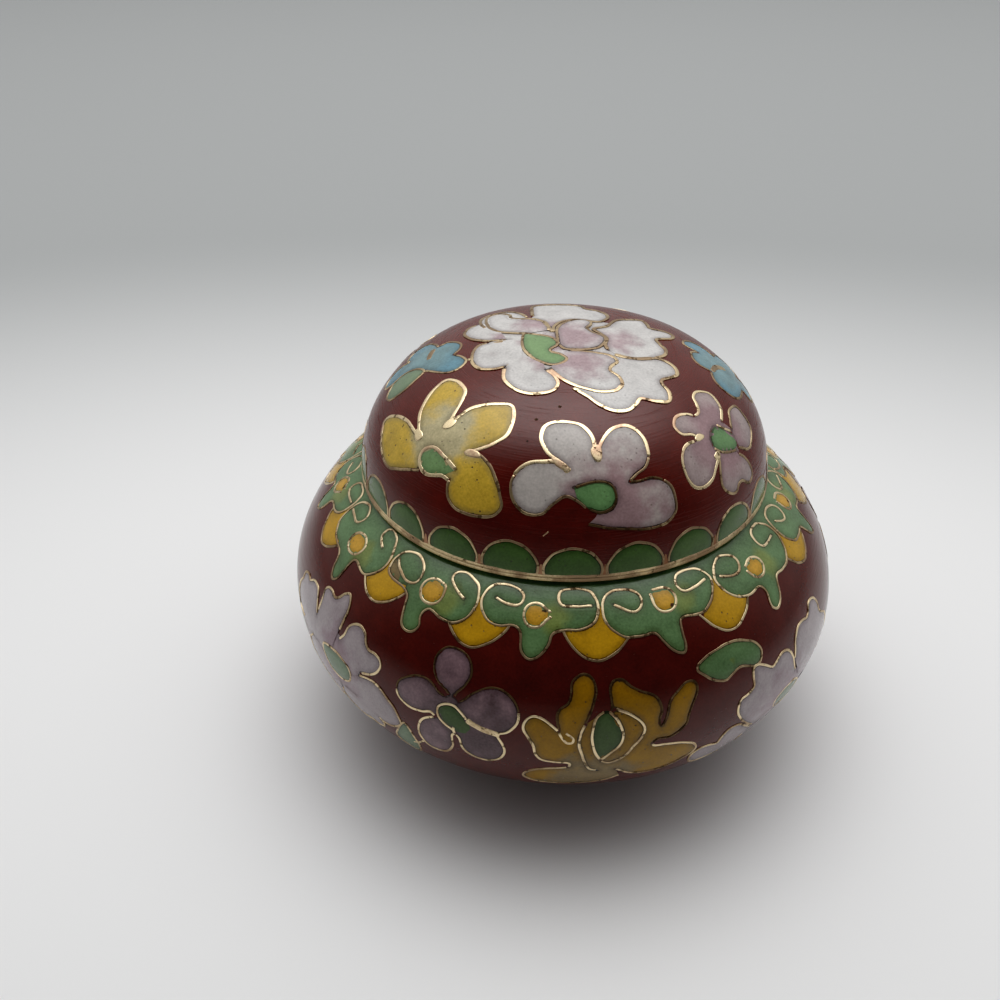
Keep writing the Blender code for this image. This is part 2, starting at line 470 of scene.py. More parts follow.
def gilt(name, gold, worn, wear, rough, tarnish=0.5):
    """Gilded copper: gold over a worn colour where broad noise passes a mark, with dark breaks."""
    finish = Finish(name, {"Metallic": 1.0})
    broad = finish.noise(RUBBED)
    fine = finish.noise(TOOLING)
    bare = finish.step(broad + (fine - 0.5) * 0.25, 0.88 - wear, 1.12 - wear)
    breaks = finish.noise(BREAKS) + (fine - 0.5) * 0.3
    dull = finish.step(breaks, 0.7 - 0.2 * tarnish, 0.78 - 0.2 * tarnish)
    finish.feed("Base Color", finish.mix(dull * 0.8, finish.mix(bare, gold, worn), TARNISH))
    finish.feed("Roughness", rough + bare * 0.12 + fine * 0.15 + dull * 0.2)
    finish.bump(fine * 0.7 + broad * 0.6)
    return finish.material


# Copies of the gilt from bright to dark. Each length of wire is given one of them.
WIRE = gilt("gilt_wire", GOLD, COPPER, 0.42, 0.2, 0.5)
DULL_WIRE = gilt("dull_wire", (0.62, 0.49, 0.31), (0.34, 0.25, 0.165), 0.55, 0.26, 0.6)
THIN_WIRE = gilt("thin_wire", (0.78, 0.64, 0.42), (0.4, 0.29, 0.18), 0.45, 0.24, 0.6)
DARK_WIRE = gilt("dark_gilt_wire", (0.36, 0.26, 0.16), (0.17, 0.12, 0.07), 0.65, 0.34, 0.9)
BARE_WIRE = gilt("bare_copper", (0.42, 0.25, 0.165), (0.33, 0.19, 0.12), 0.5, 0.34, 0.4)
RING = gilt("gilt_ring", (0.72, 0.58, 0.37), (0.42, 0.3, 0.2), 0.52, 0.27, 0.3)
CHIP = gilt("chipped_edge", (0.1, 0.06, 0.04), (0.03, 0.02, 0.015), 0.5, 0.5)
print(len(bpy.data.materials), "finishes, loaded ones included")

# %% [markdown]
# ## The turned pieces
#
# The bowl and the lid are closed shells of true thickness. Their outer skins are read off the skin
# tables, swell included, and their hollows follow the same arcs one wall's depth further in. Inside,
# such jars are coated with a cheap blue-green counter enamel that keeps the copper from warping. A
# Solidify modifier could thicken the skins, but the flat floor and the ledge in the mouth are easier
# to place as points of one profile. The rim, collar and foot are copper rings: a cross-section with
# eased corners, spun round the axis.

# %% Shells and rings
COLUMNS = 384
TURNS = np.arange(COLUMNS) * math.tau / COLUMNS


def inset(outline, wall):
    """An outline moved in along its own normals by the wall's thickness."""
    return outline[:, :2] - wall * np.stack([np.cos(outline[:, 2]), np.sin(outline[:, 2])], 1)


def make_shell(name, rings, coats, finishes):
    """A shell from rings of points whose first and last lie on the axis. coats is each row's finish."""
    faces = ring_faces(len(rings), COLUMNS)
    coat = coats[faces[:, 0] // COLUMNS]
    points, faces, whole = close_poles(rings.reshape(-1, 3), faces, COLUMNS)
    return make_piece(name, points, faces, finishes, "enamel", coat[whole])


def make_ring(name, corners, rounding):
    """A turned copper ring: its eased cross-section, down the outer side, spun round the axis."""
    profile = ease(corners, rounding)
    faces = ring_faces(len(profile), COLUMNS, closed=True)
    return make_piece(name, spun(profile, COLUMNS).reshape(-1, 3), faces, [RING], "gilt_copper")


# %% The bowl
BOWL_WALL = 2.2
BOWL_ROWS = 112
NECK_RADIUS, NECK_HEIGHT = 22.3, 1.1
LEDGE_DROP = 1.17
LIP_WIDTH, LIP_DROP = 0.1, 0.12
FLOOR_CORNER, UNDER_CORNER = 0.4, 0.3
mouth = bowl_outline[0, 0] - LIP_WIDTH
floor_height = BOWL_BOTTOM + BOWL_WALL
ledge = BOWL_TOP - LEDGE_DROP
hollow = inset(bowl_outline, BOWL_WALL)[::3]
hollow = hollow[(hollow[:, 1] > floor_height + 0.2) & (hollow[:, 1] < ledge - NECK_HEIGHT - 0.2)][::-1]
bowl_floor = [(across, floor_height) for across in np.array([0, 0.5, 1]) * (hollow[0, 0] - FLOOR_CORNER)]
bowl_neck = [(NECK_RADIUS, ledge - NECK_HEIGHT), (NECK_RADIUS, ledge)]
bowl_lip = [(mouth, ledge), (mouth, BOWL_TOP - LIP_DROP)]
inner_rings = spun(np.array([*bowl_floor, *hollow, *bowl_neck, *bowl_lip]), COLUMNS)
outer_rings = bowl.at(*np.meshgrid(np.linspace(0, bowl.length[-1], BOWL_ROWS), TURNS, indexing="ij"))[0]
under_edge = bowl_outline[-1, 0]
underside = [(across, BOWL_BOTTOM) for across in (under_edge - UNDER_CORNER, under_edge / 2, 0)]
bowl_rings = np.concatenate([inner_rings, outer_rings, spun(np.array(underside), COLUMNS)])
bowl_coats = np.ones(len(bowl_rings), int)
bowl_coats[len(inner_rings) : len(inner_rings) + len(outer_rings)] = 0
bowl_piece = make_shell("bowl_ground", bowl_rings, bowl_coats, [RED, LINING])
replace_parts(bowl_piece, "jar_body")
print("bowl:", made["bowl_ground"], "triangles")

# %% The lid
LID_WALL = 1.9
LID_ROWS = 92
lid_steps = np.linspace(0, LID_LENGTH - (RIM_TOP - LID_BOTTOM), LID_ROWS)
lid_outer = lid.at(*np.meshgrid(lid_steps, TURNS, indexing="ij"))[0]
lid_hollow = inset(lid_outline, LID_WALL)[::3]
lid_hollow = lid_hollow[lid_hollow[:, 1] > RIM_TOP + 0.2][::-1]
lid_hollow = np.concatenate([[(LID_RADIUS - LID_WALL, RIM_TOP)], lid_hollow, [(0, LID_TOP - LID_WALL)]])
lid_rings = np.concatenate([lid_outer, spun(lid_hollow, COLUMNS)])
lid_coats = (np.arange(len(lid_rings)) >= len(lid_outer)).astype(int)
lid_piece = make_shell("lid_ground", lid_rings, lid_coats, [LID_RED, LINING])
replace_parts(lid_piece, "jar_lid")
print("lid:", made["lid_ground"], "triangles")

# %% The rim, the collar and the foot
TOUCH_GAP = 0.3
BAND_PROUD, SEAT_PROUD = 0.06, 0.15
SEAT_THICKNESS = 1.0
TUBE_OUTER, TUBE_INNER = 22.0, 21.1
FOOT_WIDTH = 2.4


def bar(inner, outer, top, bottom):
    """The corners of a plain ring's cross-section."""
    return [(inner, top), (outer, top), (outer, bottom), (inner, bottom)]


band_section = bar(LID_RADIUS - LID_WALL, LID_RADIUS + BAND_PROUD, RIM_TOP, LID_BOTTOM)
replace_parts(make_ring("lid_band", band_section, 0.14), "lid_rim")

collar_low, collar_high = node_box("mouth_collar")
seat_top = LID_BOTTOM - TOUCH_GAP
tube = bar(TUBE_INNER, TUBE_OUTER, collar_high[2], collar_low[2])
seat = bar(TUBE_OUTER, collar_high[0] + SEAT_PROUD, seat_top, seat_top - SEAT_THICKNESS)
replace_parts(make_ring("seat_collar", tube[:2] + seat + tube[2:], 0.2), "mouth_collar")

foot_radius, foot_top = node_box("foot_ring")[1][[0, 2]]
foot_section = bar(foot_radius - FOOT_WIDTH, foot_radius, foot_top + TOUCH_GAP, 0)
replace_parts(make_ring("foot", foot_section, 0.4), "foot_ring")
print("rings:", made["lid_band"], made["seat_collar"], made["foot"], "triangles")

# %% [markdown]
# ## Laying the wires and filling the cells
#
# A painted pattern would be quicker, but real wires stand a hair proud of the glass and catch the
# lamp, so both are meshes here.
#
# A wire or a petal's edge is drawn as a few points, and a curve runs smoothly through them: a
# Catmull-Rom spline, whose direction at each point follows the line between its two neighbours. A
# corner is simply where one curve stops and the next starts. A cell of enamel is its outline and a
# staggered grid of points inside it, joined into triangles and laid on the skin. Its edge dives just
# under the ground, where the wire hides it, so colours meet cleanly. A wire is a flat-topped section
# carried along its curve, with a slight wander in its path and width, since it is bent by hand.

# %% Curves and cells on the flat sheet
CURVE_STEPS = 8
CELL_GRID = 0.42
EDGE_STEP = 0.22
WIRE_STEP = 0.2
CLOSE_STEP = 0.12
FAR = 9.0
rng = np.random.default_rng(11)


def curve(points):
    """A smooth line through points: on each span, a cubic set by the span's ends and their neighbours."""
    knots = np.array(points, float)
    first, last = 2 * knots[0] - knots[1], 2 * knots[-1] - knots[-2]
    knots = np.concatenate([[first], knots, [last]])
    before, start, end, after = knots[:-3], knots[1:-2], knots[2:-1], knots[3:]
    share = (np.arange(CURVE_STEPS) / CURVE_STEPS)[:, None, None]
    bend = 2 * before - 5 * start + 4 * end - after + share * (3 * (start - end) + after - before)
    line = start + share / 2 * (end - before + share * bend)
    return np.concatenate([line.transpose(1, 0, 2).reshape(-1, 2), knots[-2:-1]])


def ring(points):
    """A smooth line through points that closes on itself."""
    knots = list(points)
    line = curve(knots[-2:] + knots + knots[:3])
    return line[2 * CURVE_STEPS : (2 + len(knots)) * CURVE_STEPS + 1]


def even(line, step):
    """The line with its points set a step apart along it."""
    along = np.concatenate([[0.0], np.cumsum(np.hypot(*np.diff(line, axis=0).T))])
    spots = np.linspace(0, along[-1], max(round(along[-1] / step), 3) + 1)
    return np.stack([np.interp(spots, along, line[:, 0]), np.interp(spots, along, line[:, 1])], 1)


def chain(*lines):
    """Lines joined end to end into one."""
    return np.concatenate([np.array(line, float) for line in lines])


def enclosed(points, outline):
    """Whether each point is in the outline: a ray from it crosses the outline an odd number of times."""
    x, y = points[:, 0, None], points[:, 1, None]
    (x0, y0), (x1, y1) = outline.T, np.roll(outline, -1, 0).T
    rise = np.where(y1 == y0, 1.0, y1 - y0)
    crossed = ((y0 > y) != (y1 > y)) & (x < x0 + (y - y0) * (x1 - x0) / rise)
    return crossed.sum(1) % 2 == 1


def nearest(points, lines):
    """Each point's distance to the nearest of the lines, at most FAR."""
    gap = np.full(len(points), FAR)
    for line in lines:
        away = points[:, None] - even(line, CLOSE_STEP)[None]
        gap = np.minimum(gap, np.hypot(away[..., 0], away[..., 1]).min(1))
    return gap


# %% Sections of wires and beads
# Glass starts sunk beside its wire and is at its crown this far from it.
SINK, CROWN, CROWN_AT = -0.02, 0.035, 0.3
BEAD_SIDES = 18
BEAD_RINGS = np.array([0, 1.0, 0.93, 0.75, 0.5, 0.25, 0])
BEAD_WOBBLE, BEAD_STEP, BEAD_ROOT = 0.08, 0.02, -0.1
# A wire's section: across as a share of its half width, and up in millimetres.
HALF_SECTION = [(-1, -0.18), (-1, 0.02), (-0.93, 0.048), (-0.75, 0.056)]
OTHER_HALF = [(-across, rise) for across, rise in HALF_SECTION[::-1]]
WIRE_SECTION = np.array([*HALF_SECTION, (0, 0.06), *OTHER_HALF])
# The waves of a wire's path and of its width: how high each is, and its radians for each millimetre.
DRIFT = [(0.02, 1.1), (0.014, 2.9)]
UNEVEN = [(0.09, 0.9), (0.06, 2.4)]
# How long a wire's rounded end is and how narrow it gets, both as shares of its half width.
ROUND_END, BLUNT_END = 1.7, 0.12


def wander(along, waves):
    """A sum of sine waves along a line, each of which starts anywhere."""
    return sum(height * np.sin(pitch * along + rng.uniform(0, math.tau)) for height, pitch in waves)


def finishes_of(parts):
    """The different finishes of several (points, faces, finish, ...), and the number of each face's."""
    finishes = list(dict.fromkeys(part[2] for part in parts))
    return finishes, np.concatenate([np.full(len(part[1]), finishes.index(part[2])) for part in parts])


def joined(parts):
    """Several (points, faces) as one."""
    starts = np.cumsum([0] + [len(part[0]) for part in parts])
    faces = [part[1] + start for part, start in zip(parts, starts)]
    return np.concatenate([part[0] for part in parts]), np.concatenate(faces)


# %% One motif's glass and wires
class Motif:
    """Cells of glass and runs of wire on one skin, gathered as arrays until they are made.

    Its points are measured from its foot. It may be turned round the jar, by an angle in degrees, and
    shrunk towards its foot.
    """

    def __init__(self, skin, turn=0.0, size=1.0, foot=(0.0, 0.0)):
        self.skin = skin
        self.turn = math.radians(turn)
        self.size = size
        self.foot = np.array(foot)
        self.cells = []
        self.metal = []

    def sized(self, line):
        """A drawing's points on the whole sheet."""
        return self.foot + np.array(line, float) * self.size

    def fill(self, outline, finish, level=0.0, walls=None, heart=None, reach=(2.0, 7.0)):
        """Fills a closed outline with glass. walls are the lines that carry a wire, by default all.

        heart is the flower's middle: the colour turns to the tips' between the two reaches from it.
        """
        outline = self.sized(outline)
        outline = np.concatenate([outline, outline[:1]])
        rim = even(outline, EDGE_STEP)[:-1]
        across, up = np.meshgrid(*(np.arange(side.min(), side.max(), CELL_GRID) for side in rim.T))
        across[::2] += CELL_GRID / 2
        inner = np.stack([across.ravel(), up.ravel()], 1)
        inner = inner[enclosed(inner, rim)]
        inner = inner[nearest(inner, [rim]) > 0.5 * CELL_GRID]
        fence = [(number, (number + 1) % len(rim)) for number in range(len(rim))]
        spots = [Vector(spot) for spot in np.concatenate([rim, inner])]
        spots, _, faces = delaunay_2d_cdt(spots, fence, [], 1, 1e-5)[:3]
        flat = np.array([tuple(spot) for spot in spots])
        edge = nearest(flat, [self.sized(wall) for wall in walls] if walls else [outline])
        lift = level + SINK + (CROWN - SINK) * np.clip(edge / CROWN_AT, 0, 1)
        middle = self.sized(heart) if heart is not None else flat.mean(0)
        away = np.hypot(*(flat - middle).T) / self.size
        bloom = np.clip((away - reach[0]) / (reach[1] - reach[0]), 0, 1)
        points = self.skin.lay(flat, lift, self.turn)[0]
        self.cells.append((points, np.array(faces), finish, edge, bloom))

    def wire(self, line, width=0.42, level=0.0, closed=False, metal=None):
        """Runs a wire along a line. Its ends are rounded, and a closed one overlaps itself a little."""
        path = even(self.sized(line), WIRE_STEP)
        if closed:
            path = np.concatenate([path, path[1:3]])
        along = np.arange(len(path)) * WIRE_STEP
        run = np.gradient(path, axis=0)
        run /= np.hypot(*run.T)[:, None]
        path = path + wander(along, DRIFT)[:, None] * np.stack([-run[:, 1], run[:, 0]], 1)
        half = width / 2 * (1 + wander(along, UNEVEN))
        to_end = np.minimum(along, along[::-1]) / (ROUND_END * half)
        half = half * np.sqrt(1 - (1 - to_end.clip(0, 1)) ** 2).clip(BLUNT_END)
        centre, normal = self.skin.lay(path, 0.0, self.turn)
        ahead = np.gradient(centre, axis=0)
        side = np.cross(normal, ahead)
        side /= np.linalg.norm(side, axis=1)[:, None]
        reach, rise = WIRE_SECTION.T
        points = centre[:, None] + side[:, None] * (half[:, None] * reach)[..., None]
        points = points + normal[:, None] * (rise + level)[None, :, None]
        columns = len(WIRE_SECTION)
        points, faces, _ = close_poles(points.reshape(-1, 3), ring_faces(len(path), columns), columns)
        self.metal.append((points, faces, metal))

    def wires(self, *lines, **how):
        for line in lines:
            self.wire(line, **how)

    def blob(self, spot, size, lean=0.0, rise=0.05):
        """A ground-down bead of solder: a flat-topped oval, leaning by an angle in degrees."""
        round_it = -np.arange(BEAD_SIDES) * math.tau / BEAD_SIDES
        lobes = 1 + BEAD_WOBBLE * np.sin(3 * round_it + self.foot[0] + spot[0])
        reach = BEAD_RINGS[:, None] / 2 * lobes
        oval = np.stack([reach * np.cos(round_it), reach * np.sin(round_it)], -1) * size * self.size
        along, across = math.cos(math.radians(lean)), math.sin(math.radians(lean))
        oval = oval @ np.array([[along, across], [-across, along]])
        lift = BEAD_STEP + rise * np.sqrt(1.0 - BEAD_RINGS**6)
        lift[:2] = BEAD_ROOT
        points = self.skin.lay(oval + self.sized(spot), lift[:, None], self.turn)[0]
        faces = ring_faces(len(BEAD_RINGS), BEAD_SIDES)
        points, faces, _ = close_poles(points.reshape(-1, 3), faces, BEAD_SIDES)
        self.metal.append((points, faces, None))

    def make(self, name, metal=WIRE):
        """Makes the gathered glass and wires into two pieces."""
        if self.cells:
            finishes, coat = finishes_of(self.cells)
            edge, bloom = (np.concatenate([cell[column] for cell in self.cells]) for column in (3, 4))
            values = {"edge": edge, "bloom": bloom}
            make_piece(name + "_enamel", *joined(self.cells), finishes, "enamel", coat, values)
        if self.metal:
            finishes, coat = finishes_of([(*wire[:2], wire[2] or metal) for wire in self.metal])
            make_piece(name + "_wires", *joined(self.metal), finishes, "gilt_copper", coat)
        print(f"{name}: {len(self.cells)} cells, {len(self.metal)} wires and beads")


# %% [markdown]
# ## The scalloped hem of the lid
#
# A row of dark green half-moons stands on the lid's band, the commonest border on such jars. One
# arched wire is bent, then repeated 23 times. An Array modifier would make them all alike, so a loop
# sets each one a little out of true. Where two arches meet, the sliver between their feet is left as
# bare copper.

# %% Scallops
SCALLOPS = 23
SCALLOP_STEP = math.tau * LID_RADIUS / SCALLOPS
FIRST_SCALLOP = -0.896 * LID_RADIUS
HALF_ARCH = [(-2.9, 0.6), (-3.12, 1.3), (-2.95, 2.4), (-1.9, 3.7)]
HALF_SLIVER = [(-0.75, 0.5), (-0.42, 1.2), (-0.1, 2.1)]
HEM_POINTS = 400
HEM_LINE = 0.76


def mirrored(half, *top):
    """A smooth arch: its left half, its top and the left half again, mirrored."""
    return curve([*half, *top, *((-across, up) for across, up in half[::-1])])


scallops = Motif(hem)
for number in range(SCALLOPS):
    middle = FIRST_SCALLOP + (number + 0.5) * SCALLOP_STEP + rng.uniform(-0.12, 0.12)
    stretch = np.array([rng.uniform(0.96, 1.03), rng.uniform(0.93, 1.04)])
    arch = mirrored(HALF_ARCH, (0, 4.3)) * stretch + (middle, 0)
    scallops.fill(arch, DARK_GREEN, walls=[arch])
    scallops.wire(arch, width=0.28)
    sliver = mirrored(HALF_SLIVER) * (rng.uniform(0.7, 1.1), 1) + (middle + SCALLOP_STEP / 2, 0)
    scallops.fill(sliver, BARE_WIRE, level=0.03)
round_hem = np.linspace(-math.pi, math.pi, HEM_POINTS) * LID_RADIUS
round_hem = np.stack([round_hem, np.full(HEM_POINTS, HEM_LINE)], 1)
scallops.wire(round_hem, width=0.36, level=0.01, closed=True, metal=RING)
scallops.make("lid_scallops", DULL_WIRE)
print(SCALLOPS, "scallops,", made["lid_scallops_enamel"] + made["lid_scallops_wires"], "triangles")

# %% [markdown]
# ## The flowers of the lid
#
# Each flower is drawn once, petal by petal, and measured from its own foot. The petals open into a
# shared middle, so they are one cell of glass whose colour shifts from heart to tips, and most have a
# green drop over the middle. Where two petals' wires meet, solder has often run into a bead. Where a
# wire turns from the bright gilt to a duller copy, it is laid in lengths that overlap by two points.
# Pits in the glass are small dark discs. A flower that comes back on the far side is the same drawing
# turned round the jar.

# %% Pits
SEED_RISE = 0.012
PIT_SIDES = 9
PIT_WIDTH, PIT_DEPTH = 0.55, 0.45


def pits(motif, spots, size=0.34, level=0.03):
    """Pinholes that the grinding opened: dark, slightly oval discs."""
    round_it = np.arange(PIT_SIDES) * math.tau / PIT_SIDES
    disc = np.stack([np.cos(round_it) * size * PIT_WIDTH, np.sin(round_it) * size * PIT_DEPTH], 1)
    for spot in spots:
        motif.fill(disc + np.array(spot), CHIP, level)


# %% Amber flower
def amber_flower(name, turn, size=1.0):
    """Four amber petals that open out of a cream middle, round a hooked green drop."""
    flower = Motif(lid, turn, size, (-12, -26))
    left_joint, top_joint, right_joint = (-5.1, 11.2), (-1.1, 11.4), (1.4, 7.3)
    left = curve([
        left_joint, (-5.9, 12.8), (-6.6, 14.2), (-7.6, 15.5), (-9, 16.7), (-10.2, 17.3), (-11, 17.1),
        (-11.4, 16), (-11.7, 14), (-11.5, 12), (-10.7, 10.3), (-9, 9.1), (-7, 8), (-5.3, 7.2),
    ])
    upper = curve([
        left_joint, (-5, 13), (-4.9, 14.4), (-4.2, 16.2), (-3, 17.8), (-1.7, 18.6), (-0.4, 17.9),
        (0.6, 16.4), (0.7, 15.2), (0.1, 13.6), (-0.5, 12.4), top_joint,
    ])
    right = curve([
        top_joint, (0, 12), (1.4, 12.8), (3, 13), (4.7, 12.9), (6, 12.6), (6.5, 11.8), (6.4, 10), (5.8, 8.5),
        (4.6, 7.8), (3, 7.4), right_joint,
    ])
    lower = curve([
        right_joint, (2.7, 6.7), (3.8, 5.4), (4.5, 3.7), (4.9, 2), (5, 0.7), (4, -0.1), (2.2, 0), (0.2, 0.7),
        (-1.2, 1.7), (-1.8, 3.1), (-1.6, 4.4), (-1.2, 4.8),
    ])
    hook = [(-0.3, 5.6), (-1.4, 7.1), (-2.7, 8.9), (-3.6, 9.4), (-4.5, 9.3), (-5.1, 8.6)]
    under = [(-5.1, 7.5), (-4.4, 6.4), (-3.3, 5.9), (-2.2, 5.5)]
    drop = curve(hook + under + [(-1.3, 4.7)])
    petals = chain(left, curve(under), lower[::-1], right[::-1], upper[::-1])
    flower.fill(petals, HONEY, walls=[left, upper, right, lower, drop], heart=(-2, 10), reach=(1.5, 7))
    flower.fill(curve(hook + under), SPRING, level=SEED_RISE, walls=[drop])
    flower.wires(upper, right, drop, width=0.42)
    flower.wire(left[:60], width=0.38)
    flower.wire(left[58:], width=0.3, metal=DULL_WIRE)
    flower.wire(lower, width=0.3, metal=DULL_WIRE)
    flower.blob((-5.1, 11.6), (1.95, 1.2), 109)
    flower.blob((-0.9, 11.5), (2.05, 1.35), 27)
    flower.blob((1.85, 7), (2.4, 0.95), -26)
    pits(flower, [(-7, 10.9), (-3.4, 14.6), (-0.5, 15.2), (4.4, 10.7), (3.2, 5.2), (1.9, 4.6), (1.5, 1)])
    flower.make(name)


amber_flower("lid_amber_flower", 0)
amber_flower("lid_amber_flower_back", 200, 0.72)

# %% Rose flower
def rose_flower(name, turn, size=1.0):
    """Three round rose petals and a kidney-shaped one, round a green drop."""
    flower = Motif(lid, turn, size, (4, -27))
    left_joint, top_joint, right_joint = (-3.5, 5.5), (-0.4, 6.6), (3.6, 4.9)
    top_left = curve([
        left_joint, (-4.6, 6.4), (-5.7, 7.2), (-6.4, 8.8), (-6.1, 10.2), (-5.1, 10.9), (-3.8, 11),
        (-2.4, 10.8), (-1.3, 9.9), (-0.7, 8.7), top_joint,
    ])
    top_right = curve([
        top_joint, (0.1, 8.6), (0.8, 10.1), (1.8, 11), (2.8, 11.3), (4, 10.9), (5, 9.8), (5.5, 8.2),
        (5.2, 6.8), (4.4, 6), right_joint,
    ])
    kidney = curve([
        right_joint, (4.6, 5.2), (6, 5.9), (7.5, 6.1), (8.8, 5.6), (9.8, 4.2), (9.9, 3), (9, 1.7), (7, 0.6),
        (4.5, 0), (2, -0.3), (-0.8, -0.2),
    ])
    far_left = [
        left_joint, (-4.5, 6.1), (-6, 6.2), (-7.7, 6.1), (-9, 5.3), (-9.8, 4), (-9.7, 2.6), (-8.9, 1.3),
        (-7.5, 0.6), (-6.1, 0.7), (-5, 1.6), (-3.7, 2.5),
    ]
    left = curve(far_left)
    left_wire = curve(far_left + [(-2.5, 2.3), (-1, 1.4)])
    drop = curve([
        (-2.6, 3.5), (-1, 4.1), (0.6, 4.4), (1.8, 4), (2.3, 2.9), (1.9, 1.8), (0.6, 1.2), (-0.8, 1.4),
    ])
    fold = [(-0.4, 0.1), (0.1, 0.6), (0.3, 1.1), (0.2, 1.8), (-1.6, 2.1), (-2.8, 2.4)]
    petals = chain(top_left, top_right, kidney, fold, left[::-1])
    walls = [top_left, top_right, kidney, left_wire, drop]
    flower.fill(petals, ROSE, walls=walls, heart=(2.6, 2.5), reach=(1.5, 9.5))
    flower.fill(chain(drop, [(-2.2, 2.4)]), GREEN, level=0.035, walls=[drop, left_wire])
    flower.wires(top_left, top_right[:58], left_wire[:36], width=0.42)
    flower.wires(top_right[56:], left_wire[34:], kidney[24:60], width=0.28, metal=DULL_WIRE)
    flower.wires(kidney[:26], kidney[58:], drop, width=0.24, metal=DARK_WIRE)
    flower.blob((-4.2, 5.9), (2.7, 0.85), -33)
    flower.blob((-3.5, 5.35), (0.95, 0.75), -10)
    flower.blob((-0.3, 7.45), (2.15, 1.35), 100)
    pits(flower, [(-7, 11.3), (-0.3, 4.7), (4.2, 5.1), (-11.2, 8.8), (-4.5, 13.1)], 0.4)
    pits(flower, [(-7.9, 8.6), (-12.5, 14.5)], 0.26)
    flower.make(name)


rose_flower("lid_rose_flower", 0)
rose_flower("lid_rose_flower_back", 195, 0.8)

# %% Small rose
def small_rose(name, turn, size=1.0):
    """A smaller rose flower of five petals, the two lower ones notched."""
    flower = Motif(lid, turn, size, (18.5, -20))
    upper_left = curve([
        (-3.8, 8.2), (-3.3, 9), (-3.5, 10.2), (-3.9, 11.1), (-3.6, 12.1), (-2.7, 12.8), (-1.7, 13),
        (-0.8, 12.4), (-0.2, 11.4), (0, 9.5),
    ])
    upper_right = curve([
        (1.6, 9.5), (1.2, 11), (1.1, 12.2), (1.8, 13.5), (2.7, 13.9), (5, 13), (5.5, 11.5), (5.4, 10),
        (4.7, 8.9), (3.5, 8.2), (3.1, 7.7),
    ])
    notched = curve([
        (3.2, 7.1), (4.5, 7.5), (5.9, 7.4), (6.8, 6.7), (6.7, 5.7), (6.1, 5), (4.9, 4.5), (4.4, 3.7),
        (4.3, 2.7), (3.7, 2), (2.5, 1.6), (1.4, 1.8), (0.8, 2.8), (0.3, 4.2), (0, 4.8),
    ])
    bottom = curve([
        (0, 4.8), (-0.1, 3.2), (-0.3, 1.8), (-1.1, 0.5), (-2.6, -0.3), (-4, 0.4), (-4.8, 1.8), (-4.9, 3.2),
        (-4.4, 4.2), (-3.5, 5),
    ])
    far_left = curve([
        (-3.1, 5.6), (-4, 5.6), (-5.2, 5.1), (-6.2, 5.7), (-6.2, 6.8), (-5.6, 7.6), (-4.6, 8.1), (-3.8, 8.2),
    ])
    drop = ring([
        (-1.2, 8), (-0.3, 8.5), (1.5, 8.9), (2.6, 8.3), (2.7, 7.4), (1.7, 6.4), (0.3, 5.5), (-0.8, 5.4),
        (-1.5, 6.4),
    ])
    walls = [upper_left, upper_right, notched, bottom, far_left, drop]
    petals = chain(upper_left, upper_right, notched, bottom, far_left)
    flower.fill(petals, MAUVE, walls=walls, heart=(0, 7), reach=(2.5, 6.5))
    flower.fill(drop, GREEN, level=SEED_RISE)
    flower.wires(upper_left, bottom, far_left, width=0.34)
    flower.wires(upper_right, notched, width=0.3, metal=DULL_WIRE)
    flower.wire(curve([(-0.9, 5.3), (0.3, 5.5), (1.7, 6.3), (2.8, 7.4)]), width=0.3, metal=DULL_WIRE)
    flower.wire(curve([(-0.9, 8.5), (0.3, 8.8), (1.6, 9.2)]), width=0.3)
    flower.blob((-3, 5.65), (1.65, 0.85), 46)
    flower.blob((-0.2, 4.7), (1.35, 0.9), 65)
    flower.make(name)


small_rose("lid_small_rose", 0)

# %% [markdown]
# ### The peony on the crown
#
# The peony is the jar's showpiece: a ruffled head of ten white petals that flush pink towards the
# middle. Its petals overlap, so each is a cell of its own, laid a hair above the one before. A small
# sky-blue flower stands on each side of it, and those are single cells again.

# %% Layers of petals
PETAL_RISE = 0.011


def layered(motif, petals, finish, heart, reach, base, width=0.28):
    """Fills petals one over another.

    Each petal is its wired edge and the way back across the flower. It may have its own heart and reach.
    """
    motif.fill(base, finish, walls=[curve(petal[0]) for petal in petals], heart=heart, reach=(0, reach))
    for number, (edge, back, *flush) in enumerate(petals, 1):
        line = curve(edge)
        outline = chain(line, back) if back else line
        own, fades = flush or (heart, reach)
        level = PETAL_RISE * number
        motif.fill(outline, finish, level=level, walls=[line], heart=own, reach=(0, fades))
    for petal in petals:
        motif.wire(curve(petal[0]), width, level=PETAL_RISE * len(petals) / 2)


